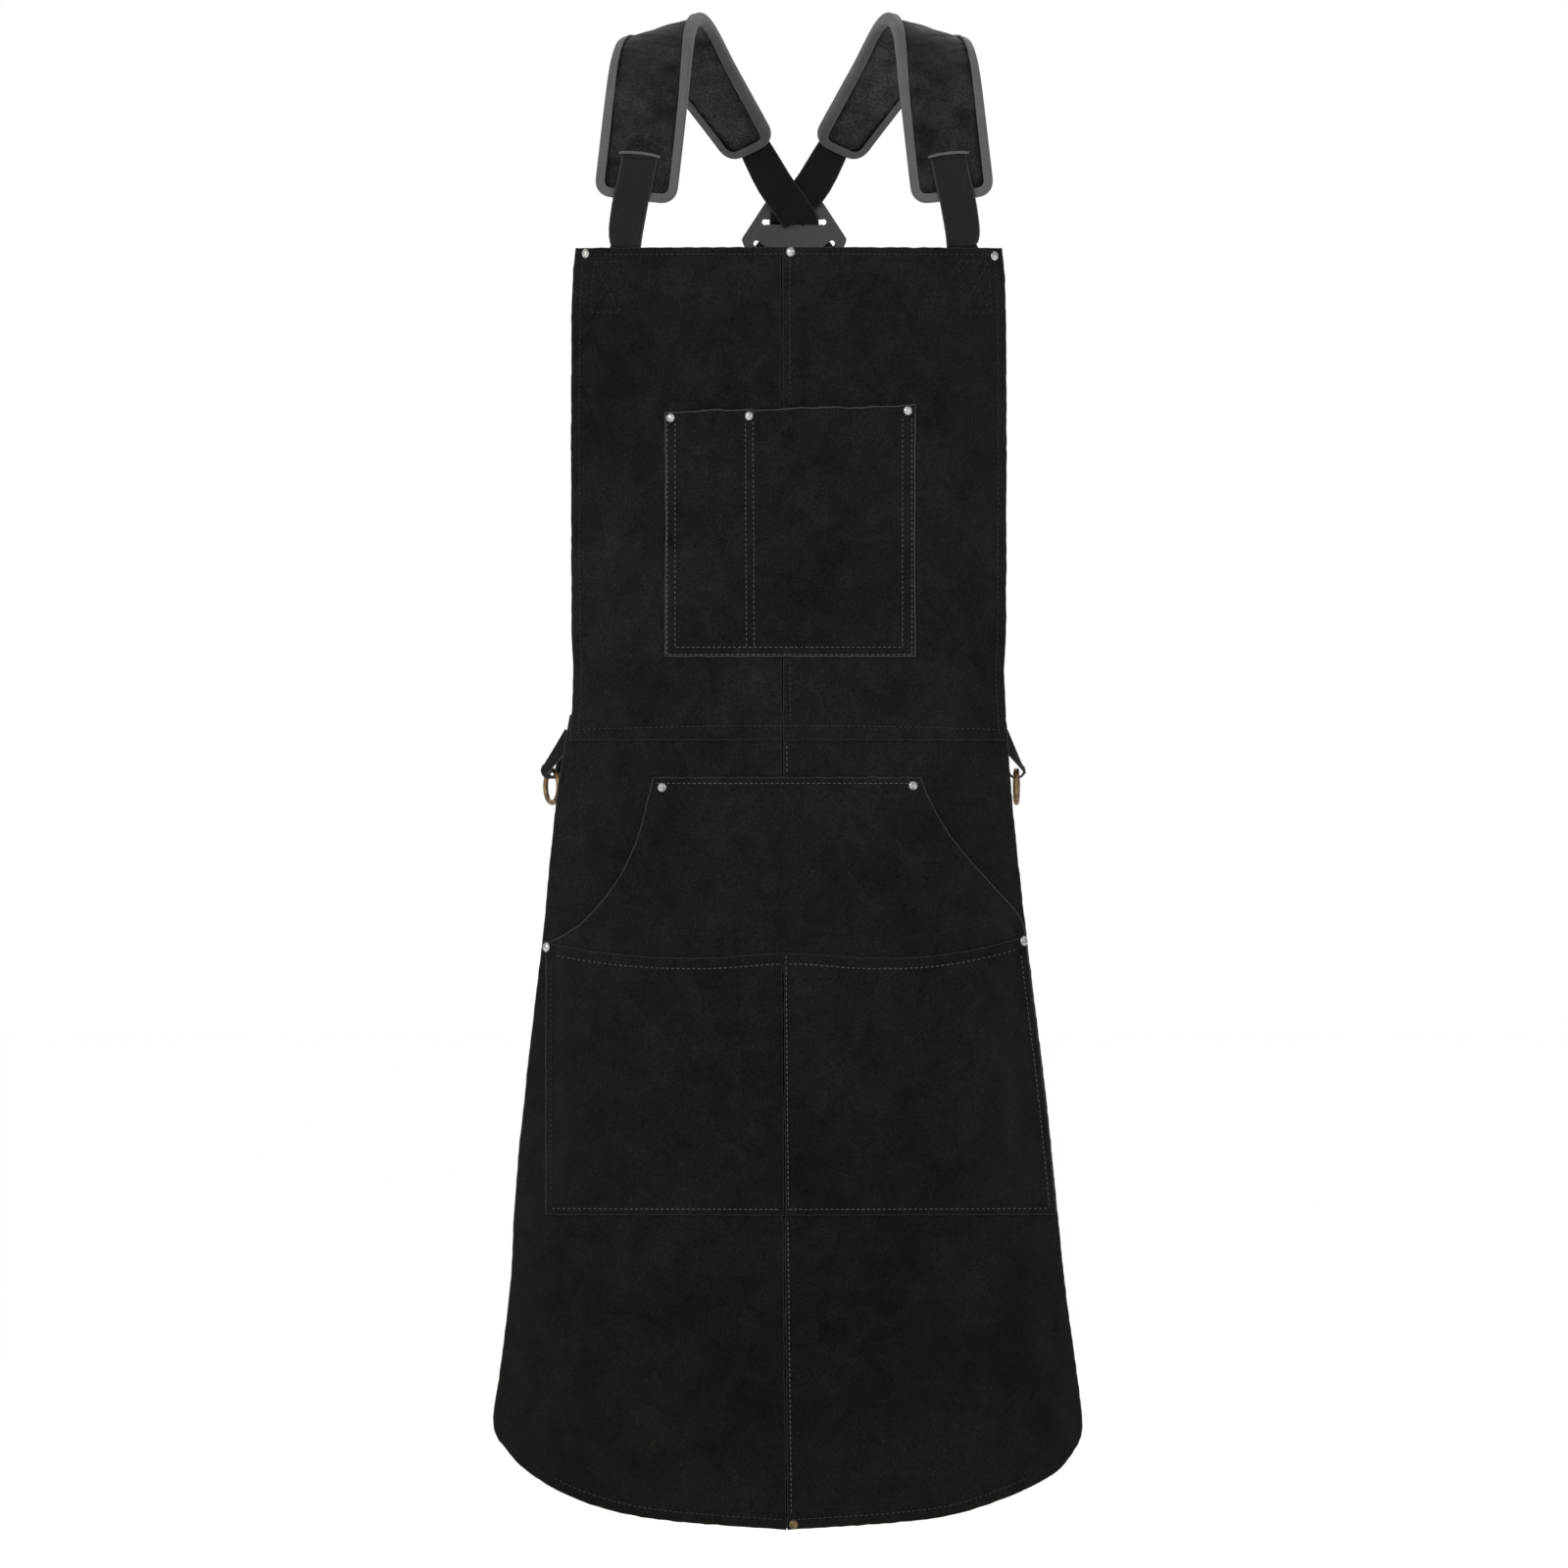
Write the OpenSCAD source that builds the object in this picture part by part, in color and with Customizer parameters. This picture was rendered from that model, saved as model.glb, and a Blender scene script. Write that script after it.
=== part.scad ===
// Welding apron: two bib panels and two skirt panels of split leather wrapped round the
// wearer's front, pockets, rivets, two padded shoulder straps that cross at a back plate,
// and two hanging lower straps with swivel snap hooks that clip to the waist rings.
// X is the wearer's sideways axis, the front faces -Y, and the origin lies midway between
// the undersides of the two shoulder pads at their highest point.

/* [Leather body] */
// Radius of the wrap at the top edge of the bib
wrap_r = 250; // [246:1:256]
// Growth of that radius for each millimetre downwards
flare = 0.05; // [0.045:0.001:0.055]
// Thickness of the leather
leather_t = 1.4; // [1.2:0.05:1.5]
// Width of the bib at its top edge, seen from the front
bib_top_w = 356; // [350:1:360]
// Width of the bib between its top edge and the waist
bib_w = 363; // [360:1:368]
// Height of the bib's top edge
bib_top_z = -186; // [-188:1:-184]
// Height of the bib's bottom edge, which laps over the skirt
waist_z = -597; // [-600:1:-594]
// Height of the lowest point of the hem
hem_z = -1253; // [-1256:1:-1248]
// Width of the lap where two panels are sewn together
lap_w = 12; // [10:1:14]

/* [Pockets] */
// Gap that the bib pocket's mouth holds open
bib_pocket_gap = 10; // [8:0.5:12]
// Gap that the hand pocket holds open
hand_pocket_gap = 13; // [10:0.5:15]

/* [Rivets] */
// Diameter of a rivet's cap
rivet_d = 8; // [7:0.5:9]
// Diameter of a rivet's post
rivet_post_d = 3; // [2.6:0.1:3.2]

/* [Rings] */
// Outer diameter of a waist ring
ring_d = 31.5; // [30:0.5:32]
// Diameter of the ring's wire
ring_wire = 4.3; // [4:0.1:4.5]
// Width of the leather loop that holds a ring
loop_w = 16; // [14:1:16]

/* [Straps] */
// Width of the webbing
web_w = 30; // [28:0.5:31]
// Thickness of the webbing
web_t = 1.4; // [1.2:0.1:1.4]
// Width of a shoulder pad
pad_w = 67; // [64:1:70]
// Width of a shoulder pad at its rear end
pad_rear_w = 46; // [44:1:50]
// Face width of the pad's binding
binding_w = 7; // [6:0.5:8]

/* [Back plate and hooks] */
// Thickness of the cross plate
plate_t = 2.5; // [2:0.1:2.6]
// Width of the plate's slots
slot_w = 4.2; // [4:0.1:4.5]
// Diameter of the snap hook's round bar
hook_bar = 5.2; // [4.8:0.1:5.4]
// Running clearance of the swivel post in its eye
swivel_gap = 0.06; // [0.04:0.01:0.1]

/* [Hidden] */

leather = [0.13, 0.125, 0.12];
black_web = [0.12, 0.12, 0.125];
suede = [0.17, 0.17, 0.17];
grey_trim = [0.4, 0.4, 0.41];
plate_grey = [0.25, 0.26, 0.26];
silver = [0.8, 0.8, 0.8];
antique_brass = [0.5, 0.4, 0.22];
foam_grey = [0.3, 0.3, 0.3];

// The wrap is a cone about a vertical axis at y = wrap_y. Layer k lies k pitches outside the bib.
wrap_y = 130;
pitch = leather_t + 0.2;
flare_angle = atan(flare);
wrap_fn = 180;
hole_d = rivet_post_d + 0.2;

function wrap_radius(z) = wrap_r + (bib_top_z - z) * flare;
function wrap_point(x, z, off) = [x, wrap_y - sqrt(pow(wrap_radius(z) + off, 2) - x * x), z];
function mix(a, b, t) = a + (b - a) * t;
function clamp01(t) = min(1, max(0, t));
function ease(t) = let(c = clamp01(t)) c * c * (3 - 2 * c);
function unit(v) = v / norm(v);

// A smooth curve through the points p, with n steps between neighbours.
function smooth_line(p, n) = [
    for (i = [0 : len(p) - 2], k = [0 : n - 1])
        let(a = p[max(i - 1, 0)], b = p[i], c = p[i + 1], d = p[min(i + 2, len(p) - 1)], t = k / n)
        0.5 * (2 * b + (c - a) * t + (2 * a - 5 * b + 4 * c - d) * t * t
            + (3 * b - a - 3 * c + d) * t * t * t),
    p[len(p) - 1]];

// The x of a line through [x, z] points at the height z; the points run downwards.
function x_at(line, z, i = 0) =
    i >= len(line) - 2 || z >= line[i + 1][1]
        ? mix(line[i][0], line[i + 1][0],
            clamp01((line[i][1] - z) / (line[i][1] - line[i + 1][1])))
        : x_at(line, z, i + 1);

// Outlines in the front view, as [x, z] from the top down.
skirt_top_z = waist_z + 22;
bib_edge = [[bib_top_w / 2, bib_top_z], [bib_w / 2, bib_top_z - 60], [bib_w / 2, -480],
    [bib_w / 2 - 1.5, -545], [bib_w / 2 + 1.5, waist_z]];
skirt_edge_left = [[-182.5, skirt_top_z], [-187, -600], [-195, -653], [-205, -756], [-219, -878],
    [-228, -970], [-232.5, -1050], [-241, -1120], [-247, -1163], [-242, -1180], [-219, -1205],
    [-175, hem_z + 24], [-111, hem_z + 8.5], [-1.8, hem_z]];
skirt_edge_right = [[181.5, skirt_top_z], [183, -600], [187, -653], [198, -756], [213, -878],
    [222.5, -970], [230.5, -1050], [240, -1120], [245, -1166], [241, -1184], [222, -1207],
    [176, hem_z + 24], [116, hem_z + 8.5], [-1.5, hem_z]];
bib_seam = [[-5.7, bib_top_z], [-5, waist_z]];
skirt_seam = [[-5, skirt_top_z], [-4, -970], [-1.5, hem_z]];

// Rivet places as [x, z].
bib_rivet_at = [[-168.5, -191], [1.5, -190.5], [170.5, -193]];
pocket_rivet_at = [[-97.5, -328.5], [-33, -327], [98, -322.5]];
hand_rivet_at = [[-105, -636], [103, -634.5], [-199.5, -769], [193.5, -764]];
hem_rivet_at = [[4, hem_z + 5]];

// ---------- leather ----------

module wrap_band(k) {
    z_hi = bib_top_z + 30;
    z_lo = hem_z - 20;
    hi = wrap_radius(z_hi) + k * pitch;
    lo = wrap_radius(z_lo) + k * pitch;
    translate([0, wrap_y, 0])
        rotate_extrude($fn = wrap_fn)
            polygon([[hi, z_hi], [hi + leather_t, z_hi], [lo + leather_t, z_lo], [lo, z_lo]]);
}

// A piece of layer k cut to an outline given in the front view.
module cut_leather(k, outline) {
    intersection() {
        wrap_band(k);
        translate([0, wrap_y, 0])
            rotate([90, 0, 0])
                linear_extrude(height = wrap_r + 100)
                    polygon(outline);
    }
}

// Puts children on the wrap at [x, z] with local +Z pointing out of the front.
module on_wrap(at) {
    r = wrap_radius(at[1]);
    a = asin(at[0] / r);
    translate(wrap_point(at[0], at[1], 0))
        rotate([0, 0, a])
            rotate([90 - flare_angle, 0, 0])
                children();
}

module rivet_holes(places) {
    for (at = places)
        on_wrap(at)
            cylinder(h = 14, d = hole_d, center = true, $fn = 32);
}

function flip_x(line, side) = [for (p = line) [side * p[0], p[1]]];
function backwards(line) = [for (i = [len(line) - 1 : -1 : 0]) line[i]];

module bib_left() {
    edge = smooth_line(flip_x(bib_edge, -1), 4);
    lap = [for (p = bib_seam) [p[0] + lap_w, p[1]]];
    lap_end = skirt_top_z + 2;
    color(leather)
        difference() {
            union() {
                cut_leather(0, concat(edge, backwards([for (p = bib_seam) [p[0] - 0.3, p[1]]])));
                cut_leather(-1, [[bib_seam[0][0] - 3, bib_top_z], [lap[0][0], bib_top_z],
                    [lap[0][0], lap_end], [bib_seam[0][0] - 3, lap_end]]);
                cut_leather(-0.5, [[bib_seam[0][0] - 3, bib_top_z], [bib_seam[0][0] - 0.3, bib_top_z],
                    [bib_seam[0][0] - 0.3, lap_end], [bib_seam[0][0] - 3, lap_end]]);
            }
            rivet_holes([bib_rivet_at[0], bib_rivet_at[1], pocket_rivet_at[0], pocket_rivet_at[1]]);
        }
}

module bib_right() {
    edge = smooth_line(bib_edge, 4);
    color(leather)
        difference() {
            cut_leather(0, concat(edge, backwards(bib_seam)));
            rivet_holes([bib_rivet_at[1], bib_rivet_at[2], pocket_rivet_at[2]]);
        }
}

module skirt_left() {
    edge = smooth_line(skirt_edge_left, 4);
    trim = hem_z + 1.5;
    color(leather)
        difference() {
            union() {
                cut_leather(-1, concat(edge, [for (i = [1, 0]) skirt_seam[i] - [0.3, 0]]));
                cut_leather(-2, [[skirt_seam[0][0] - 3, skirt_top_z],
                    [skirt_seam[0][0] + lap_w, skirt_top_z], [skirt_seam[1][0] + lap_w, -970],
                    [skirt_seam[2][0] + lap_w - 3, trim], [skirt_seam[2][0] - 6, trim],
                    [skirt_seam[1][0] - 3, -970]]);
                cut_leather(-1.5, [[skirt_seam[0][0] - 3, skirt_top_z],
                    [skirt_seam[0][0] - 0.4, skirt_top_z], [skirt_seam[1][0] - 0.4, -970],
                    [skirt_seam[2][0] - 3.6, trim], [skirt_seam[2][0] - 6, trim],
                    [skirt_seam[1][0] - 3, -970]]);
            }
            rivet_holes([hand_rivet_at[0], hand_rivet_at[2], hem_rivet_at[0]]);
        }
}

module skirt_right() {
    edge = smooth_line(skirt_edge_right, 4);
    color(leather)
        difference() {
            cut_leather(-1, concat(edge, [skirt_seam[1], skirt_seam[0]]));
            rivet_holes([hand_rivet_at[1], hand_rivet_at[3], hem_rivet_at[0]]);
        }
}

// ---------- pockets: closed sheets on a grid of stations ----------

// us and vs are the grid's parameters, and place(u, v) gives [x, z, offset from the wrap].
module grid_sheet(us, vs, place) {
    nu = len(us);
    nv = len(vs);
    n = nu * nv;
    pts = [for (t = [0, leather_t], v = vs, u = us)
        let(p = place(u, v)) wrap_point(p[0], p[1], p[2] + t)];
    inner = [for (j = [0 : nv - 2], i = [0 : nu - 2])
        let(a = j * nu + i) each [[a, a + nu, a + 1], [a + 1, a + nu, a + nu + 1]]];
    outer = [for (f = inner) [f[0] + n, f[2] + n, f[1] + n]];
    top = [for (i = [0 : nu - 2]) each [[i, i + 1, i + n], [i + 1, i + 1 + n, i + n]]];
    bottom = [for (i = [0 : nu - 2]) let(a = (nv - 1) * nu + i)
        each [[a, a + n, a + 1], [a + 1, a + n, a + 1 + n]]];
    left = [for (j = [0 : nv - 2]) let(a = j * nu)
        each [[a, a + n, a + nu], [a + nu, a + n, a + nu + n]]];
    right = [for (j = [0 : nv - 2]) let(a = j * nu + nu - 1)
        each [[a, a + nu, a + n], [a + nu, a + nu + n, a + n]]];
    polyhedron(points = pts, faces = concat(inner, outer, top, bottom, left, right));
}

// Bib pocket: a narrow pen pocket and a wide pocket, sewn at the sides, foot and divider.
pocket_left_x = -103.5;
pocket_right_x = 106;
pocket_foot_z = -527.5;
pocket_seams = [-97.5, -33, 98];
// Half width of the flat strip along each seam
seam_flat = 5;

function pocket_top_z(x) = mix(-323, -317.5, (x - pocket_left_x) / (pocket_right_x - pocket_left_x));
function hump(x, seam_a, seam_b) =
    let(a = seam_a + seam_flat, b = seam_b - seam_flat)
    x <= a || x >= b ? 0 : pow(sin(180 * (x - a) / (b - a)), 0.6);
function bib_pocket_bulge(x, v) =
    bib_pocket_gap * pow(1 - v, 0.55) * (0.8 * hump(x, pocket_seams[0], pocket_seams[1])
        + hump(x, pocket_seams[1], pocket_seams[2]));

module bib_pocket() {
    us = concat([pocket_left_x, pocket_seams[0]],
        [for (i = [0 : 6]) mix(pocket_seams[0] + seam_flat, pocket_seams[1] - seam_flat, i / 6)],
        [pocket_seams[1]],
        [for (i = [0 : 10]) mix(pocket_seams[1] + seam_flat, pocket_seams[2] - seam_flat, i / 10)],
        [pocket_seams[2], pocket_right_x]);
    vs = [0, 0.1, 0.25, 0.4, 0.55, 0.7, 0.85, 0.94, 1];
    color(leather)
        difference() {
            grid_sheet(us, vs, function(u, v)
                [u, mix(pocket_top_z(u), pocket_foot_z, v), pitch + bib_pocket_bulge(u, min(1, v / 0.94))]);
            rivet_holes(pocket_rivet_at);
        }
}

// Hand pocket: an upper piece with a curved hand opening at each side, sewn along its top, and
// two lap panels that carry on the bag below it, sewn at the sides, the foot and the centre.
hand_top_z = -627;
hand_low_z = -790;
lap_mid_z = -777;
lap_foot_z = -992;
lap_left_x = -203;
mouth_left = [[-113, hand_top_z], [-116.5, -640], [-125.5, -675], [-137, -702], [-152, -725],
    [-175, -750], [lap_left_x, -766], [lap_left_x, hand_low_z]];
mouth_right = [[110.5, hand_top_z], [112, -633], [128, -665], [144.5, -688], [168, -715],
    [190, -739], [197, -756], [201.2, hand_low_z]];

// The lap panels' top edge dips between the centre seam and the rivets at the sides.
function lap_top_z(x) = lap_mid_z + 4 * (1 - ease(abs(x) / 70))
    + (x < 0 ? 12 : 19) * pow(clamp01((abs(x) - 85) / 115), 2);

// The bag's two halves meet at x = bag_mid and end at bag_left and bag_right.
bag_mid = -5;
bag_left = -194;
bag_right = 188;
bag_lift = 0.2;
lap_lift = pitch + 0.3;
bag_us = [0, 0.06, 0.14, 0.24, 0.35, 0.46, 0.57, 0.66, 0.74, 0.82, 0.89, 0.955, 1];

function hand_bulge(x, z) =
    let(open = ease((-636 - z) / 70) * ease((z + 984) / 150),
        sewn = ease((-684 - z) / 74),
        half = (x - bag_mid) / ((x < bag_mid ? bag_left : bag_right) - bag_mid),
        side = half >= 1 ? 0 : pow(sin(180 * half), 0.5))
    bag_lift + hand_pocket_gap * open * mix(1, side, sewn);

// The inner edge of each lap panel, on the centre seam.
function lap_in(side, z) = mix(side < 0 ? -5.3 : -4.8, side < 0 ? -3.3 : -2.8, (lap_mid_z - z) / 215);

module hand_pocket() {
    us = concat([for (u = backwards(bag_us)) -1 - u], [for (u = bag_us) 1 + u]);
    zs = [hand_top_z, -640, -660, -680, -700, -718, -736, -750, -756, -761, -766, -778, hand_low_z];
    color(leather)
        difference() {
            grid_sheet(us, zs, function(u, z)
                let(side = sign(u), edge = x_at(side < 0 ? mouth_left : mouth_right, z),
                    x = mix(lap_in(side, z), edge, abs(u) - 1))
                [x, z, hand_bulge(x, z)]);
            rivet_holes(hand_rivet_at);
        }
}

// One lap panel from the centre seam to the line x_out, sewn over the foot of the hand pocket.
module lap_panel(side, x_out, rivet) {
    zs = [lap_mid_z, -784, hand_low_z - 3, -806, -830, -860, -890, -920, -950, -975, lap_foot_z];
    color(leather)
        difference() {
            grid_sheet(side > 0 ? bag_us : backwards(bag_us), zs, function(u, z)
                let(x = mix(lap_in(side, z), x_out(z), u), y = z < lap_mid_z ? z : lap_top_z(x),
                    over = 1 - ease((hand_low_z - 3 - y) / 14))
                [x, y, hand_bulge(x, y) + lap_lift * over]);
            rivet_holes([rivet]);
        }
}

module lap_panel_left() {
    lap_panel(-1, function(z) lap_left_x, hand_rivet_at[2]);
}

module lap_panel_right() {
    lap_panel(1, function(z) x_at(skirt_edge_right, z) - 1, hand_rivet_at[3]);
}

// ---------- rivets ----------

// A capped rivet whose post runs from local z = back to the cap's seat at z = front.
module rivet(back, front) {
    cap_r = rivet_d / 2;
    cap_h = 2.3;
    ball_r = (cap_r * cap_r + cap_h * cap_h) / (2 * cap_h);
    cap_a = asin(cap_r / ball_r);
    translate([0, 0, back])
        cylinder(h = front - back + 0.5, d = rivet_post_d, $fn = 32);
    translate([0, 0, front])
        rotate_extrude($fn = 48)
            polygon(concat([[0, 0]], [for (i = [0 : 8])
                [ball_r * sin(cap_a * (8 - i) / 8), ball_r * cos(cap_a * (8 - i) / 8) - ball_r + cap_h]]));
}

module rivet_back(at_z) {
    translate([0, 0, at_z - 1])
        difference() {
            cylinder(h = 1, d = rivet_d - 1, $fn = 48);
            translate([0, 0, -1])
                cylinder(h = 3, d = rivet_post_d, $fn = 32);
        }
}

// Each stack is [depth of its back face, height of its front face] from the wrap's surface.
single = [-0.1, leather_t + 0.1];
lapped = [-pitch - 0.1, leather_t + 0.1];
pocketed = [-0.1, pitch + leather_t + 0.1];
skirted = [-pitch - 0.1, bag_lift + leather_t + 0.1];
triple = [-pitch - 0.1, bag_lift + lap_lift + leather_t + 0.1];
hemmed = [-pitch - 0.1, leather_t - pitch + 0.1];

module rivet_set(places, stacks) {
    color(silver)
        for (i = [0 : len(places) - 1])
            on_wrap(places[i])
                rivet(stacks[i][0] - 1, stacks[i][1]);
}

module rivet_back_set(places, stacks) {
    color(silver)
        for (i = [0 : len(places) - 1])
            on_wrap(places[i])
                rivet_back(stacks[i][0]);
}

bib_stacks = [single, lapped, single];
pocket_stacks = [pocketed, pocketed, pocketed];
hand_stacks = [skirted, skirted, triple, triple];

module bib_rivets() { rivet_set(bib_rivet_at, bib_stacks); }
module bib_rivet_backs() { rivet_back_set(bib_rivet_at, bib_stacks); }
module pocket_rivets() { rivet_set(pocket_rivet_at, pocket_stacks); }
module pocket_rivet_backs() { rivet_back_set(pocket_rivet_at, pocket_stacks); }
module hand_pocket_rivets() { rivet_set(hand_rivet_at, hand_stacks); }
module hand_pocket_rivet_backs() { rivet_back_set(hand_rivet_at, hand_stacks); }

module hem_rivet() {
    color(antique_brass)
        on_wrap(hem_rivet_at[0])
            rivet(-2 * pitch - 1.1, hemmed[1]);
}

module hem_rivet_back() {
    color(antique_brass)
        on_wrap(hem_rivet_at[0])
            rivet_back(-2 * pitch - 0.1);
}

// ---------- ribbons ----------

// A flat ribbon through stations [centre, width direction, width], shifted by off along its
// outward normal. The width direction is squared up to the path at each station.
function ribbon_t(st, i) =
    unit(st[min(i + 1, len(st) - 1)][0] - st[max(i - 1, 0)][0]);
function ribbon_w(st, i) =
    let(t = ribbon_t(st, i), w = st[i][1]) unit(w - (w * t) * t);
function ribbon_n(st, i) = cross(ribbon_w(st, i), ribbon_t(st, i));

module ribbon(st, thickness, off = 0, columns = 2) {
    last = len(st) - 1;
    m = 2 * columns + 2;
    shares = [for (k = [0 : columns]) 2 * k / columns - 1];
    pts = [for (i = [0 : last])
        let(c = st[i][0] + off * ribbon_n(st, i), w = ribbon_w(st, i) * st[i][2] / 2,
            n = ribbon_n(st, i) * thickness / 2)
        each concat([for (f = shares) c + f * w - n], [for (f = shares) c - f * w + n])];
    sides = [for (i = [0 : last - 1], k = [0 : m - 1])
        let(a = m * i + k, b = m * i + (k + 1) % m)
        each k <= columns ? [[a, b, a + m], [b, b + m, a + m]] : [[a, b, b + m], [a, b + m, a + m]]];
    ends = [for (k = [0 : columns - 1], o = [0, m * last])
        let(a = o + k, b = a + 1, c = o + m - 2 - k, d = c + 1)
        each o == 0 ? [[a, c, b], [a, d, c]] : [[a, b, c], [a, c, d]]];
    polyhedron(points = pts, faces = concat(sides, ends));
}

// The straps are symmetric about x = strap_x. A strap's stations are given for the one that
// starts at the wearer's right (negative x), and side = -1 turns them into its twin's.
strap_x = 4.5;
function strap_station(s, side) =
    [[strap_x + side * s[0][0], s[0][1], s[0][2]], [s[1][0], side * s[1][1], side * s[1][2]], s[2]];

// ---------- waist rings and their leather loops ----------

ring_r = (ring_d - ring_wire) / 2;
ring_at = [[-197.2, -44.5, -635], [189.7, -46, -635]];
ring_yaw = [66, 86];
loop_top = [[-181.5, -61, -592], [177, -62.5, -592]];
loop_in_r = 5.8;
loop_t = 1.5;

function ring_axis(i) = let(s = i == 0 ? -1 : 1) [s * cos(ring_yaw[i]), sin(ring_yaw[i]), 0];

module waist_ring(i) {
    a = ring_axis(i);
    color(antique_brass)
        translate(ring_at[i])
            rotate([0, 0, atan2(a[1], a[0])])
                rotate([90, 0, 0])
                    rotate_extrude($fn = 64)
                        translate([ring_r, 0])
                            circle(d = ring_wire, $fn = 32);
}

// The loop runs from the waist seam down to the ring, round its wire and back to the seam.
module ring_loop(i) {
    s = i == 0 ? -1 : 1;
    pivot = ring_at[i] + [0, 0, ring_r];
    w_low = ring_axis(i);
    w_high = [s * cos(43), sin(43), 0];
    n_low = cross(w_low, [0, 0, 1]);
    n_high = cross(w_high, [0, 0, 1]);
    fold = loop_in_r + loop_t / 2;
    leg = function(sign) [for (t = [0, 0.25, 0.5, 0.75, 0.92])
        let(w = unit(mix(w_high, w_low, t)), n = unit(mix(n_high, n_low, t)))
        [mix(loop_top[i], pivot, t) + sign * n * mix(loop_t / 2 + 0.15, fold, t), w, loop_w]];
    round_end = [for (a = [0 : 15 : 180])
        [pivot + fold * (n_low * cos(a) - [0, 0, sin(a)]), w_low, loop_w]];
    color(leather)
        ribbon(concat(leg(1), round_end, backwards(leg(-1))), loop_t);
}

// ---------- shoulder pads ----------

// Pad stations from the front end over the shoulder to the rear end.
pad_line = [
    [[-132.5, -80, -145], [1, 0, -0.075], pad_w],
    [[-128.5, -77.5, -111], [1, 0, -0.04], pad_w],
    [[-123, -69, -63], [1, -0.05, 0.04], pad_w],
    [[-118.5, -51, -28], [0.97, -0.15, 0.18], pad_w],
    [[-113.5, -26, -9], [0.93, -0.22, 0.27], pad_w],
    [[-105.5, 5, -5], [0.9, -0.28, 0.32], pad_w],
    [[-94.5, 33, -14], [0.83, -0.38, 0.38], pad_w - 3],
    [[-78.5, 55, -38], [0.78, -0.45, 0.42], mix(pad_rear_w, pad_w, 0.6)],
    [[-56.5, 71, -71], [0.75, -0.49, 0.44], mix(pad_rear_w, pad_w, 0.3)],
    [[-35.5, 82, -103], [0.74, -0.5, 0.45], pad_rear_w]];
pad_steps = 3;
pad_centres = smooth_line([for (s = pad_line) s[0]], pad_steps);
pad_dirs = smooth_line([for (s = pad_line) s[1]], pad_steps);
pad_widths = smooth_line([for (s = pad_line) [s[2], 0]], pad_steps);
pad_curve = [for (i = [0 : len(pad_centres) - 1]) [pad_centres[i], pad_dirs[i], pad_widths[i][0]]];
pad_last = len(pad_curve) - 1;

// Heights above the pad's middle surface.
lining_n = -3.2;
lining_t = 1;
foam_n = -0.7;
foam_t = 4;
web_n = 2.4;
cover_n = 4.1;
cover_t = 1.2;
binding_t = 0.9;
edge_gap = 0.35;
binding_top = cover_n + cover_t / 2 + edge_gap;
binding_foot = lining_n - lining_t / 2 - edge_gap;
web_over_n = binding_top + binding_t + 0.2 + web_t / 2;
slit_at = [3, pad_last - 2.5];
slit_l = 14;

// The pad's station at the fractional index p, lifted by n along the outward normal.
function pad_frame(p) =
    let(i = min(floor(p), pad_last - 1), t = p - i, a = pad_curve[i], b = pad_curve[i + 1])
    [mix(a[0], b[0], t), mix(a[1], b[1], t), mix(a[2], b[2], t)];
function pad_tangent(p) = unit(pad_frame(min(pad_last, p + 0.5))[0] - pad_frame(max(0, p - 0.5))[0]);
function pad_across(p) =
    let(t = pad_tangent(p), w = pad_frame(p)[1]) unit(w - (w * t) * t);
function pad_normal(p) = cross(pad_across(p), pad_tangent(p));

// Stations of the pad's outline with rounded end corners, drawn in by edge all round.
corner_r = 11;
corner_steps = 5;
function corner_cut(inset) = corner_r - sqrt(max(0, corner_r * corner_r - pow(corner_r - inset, 2)));
function pad_end(p, edge, inset) =
    let(dir = p == 0 ? 1 : -1, f = pad_frame(p))
    [f[0] + dir * (inset + edge) * pad_tangent(p), f[1], f[2] - 2 * edge - 2 * corner_cut(inset)];
end_insets = [for (k = [0 : corner_steps]) 0.4 + (corner_r - 0.4) * (1 - cos(90 * k / corner_steps))];
function pad_outline(edge) = concat(
    [for (inset = end_insets) pad_end(0, edge, inset)],
    [for (i = [2 : pad_last - 2]) [pad_curve[i][0], pad_curve[i][1], pad_curve[i][2] - 2 * edge]],
    [for (inset = backwards(end_insets)) pad_end(pad_last, edge, inset)]);
function pad_side(edge, side) = [for (s = pad_outline(edge)) strap_station(s, side)];

module pad_slit(p, side) {
    f = strap_station([pad_frame(p)[0] + cover_n * pad_normal(p), pad_across(p), 1], side);
    t = pad_tangent(p);
    w = f[1];
    d = [side * t[0], t[1], t[2]];
    n = cross(w, d);
    multmatrix([[w[0], d[0], n[0], f[0][0]], [w[1], d[1], n[1], f[0][1]],
        [w[2], d[2], n[2], f[0][2]], [0, 0, 0, 1]])
        cube([web_w + 2, slit_l, 4], center = true);
}

module pad_cover(side) {
    color(suede)
        difference() {
            ribbon(pad_side(binding_t + edge_gap, side), cover_t, cover_n, 4);
            pad_slit(slit_at[0], side);
            pad_slit(slit_at[1], side);
        }
}

module pad_foam(side) {
    color(foam_grey)
        ribbon(pad_side(binding_t + edge_gap, side), foam_t, foam_n, 4);
}

module pad_lining(side) {
    color(suede)
        ribbon(pad_side(binding_t + edge_gap, side), lining_t, lining_n, 4);
}

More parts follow.
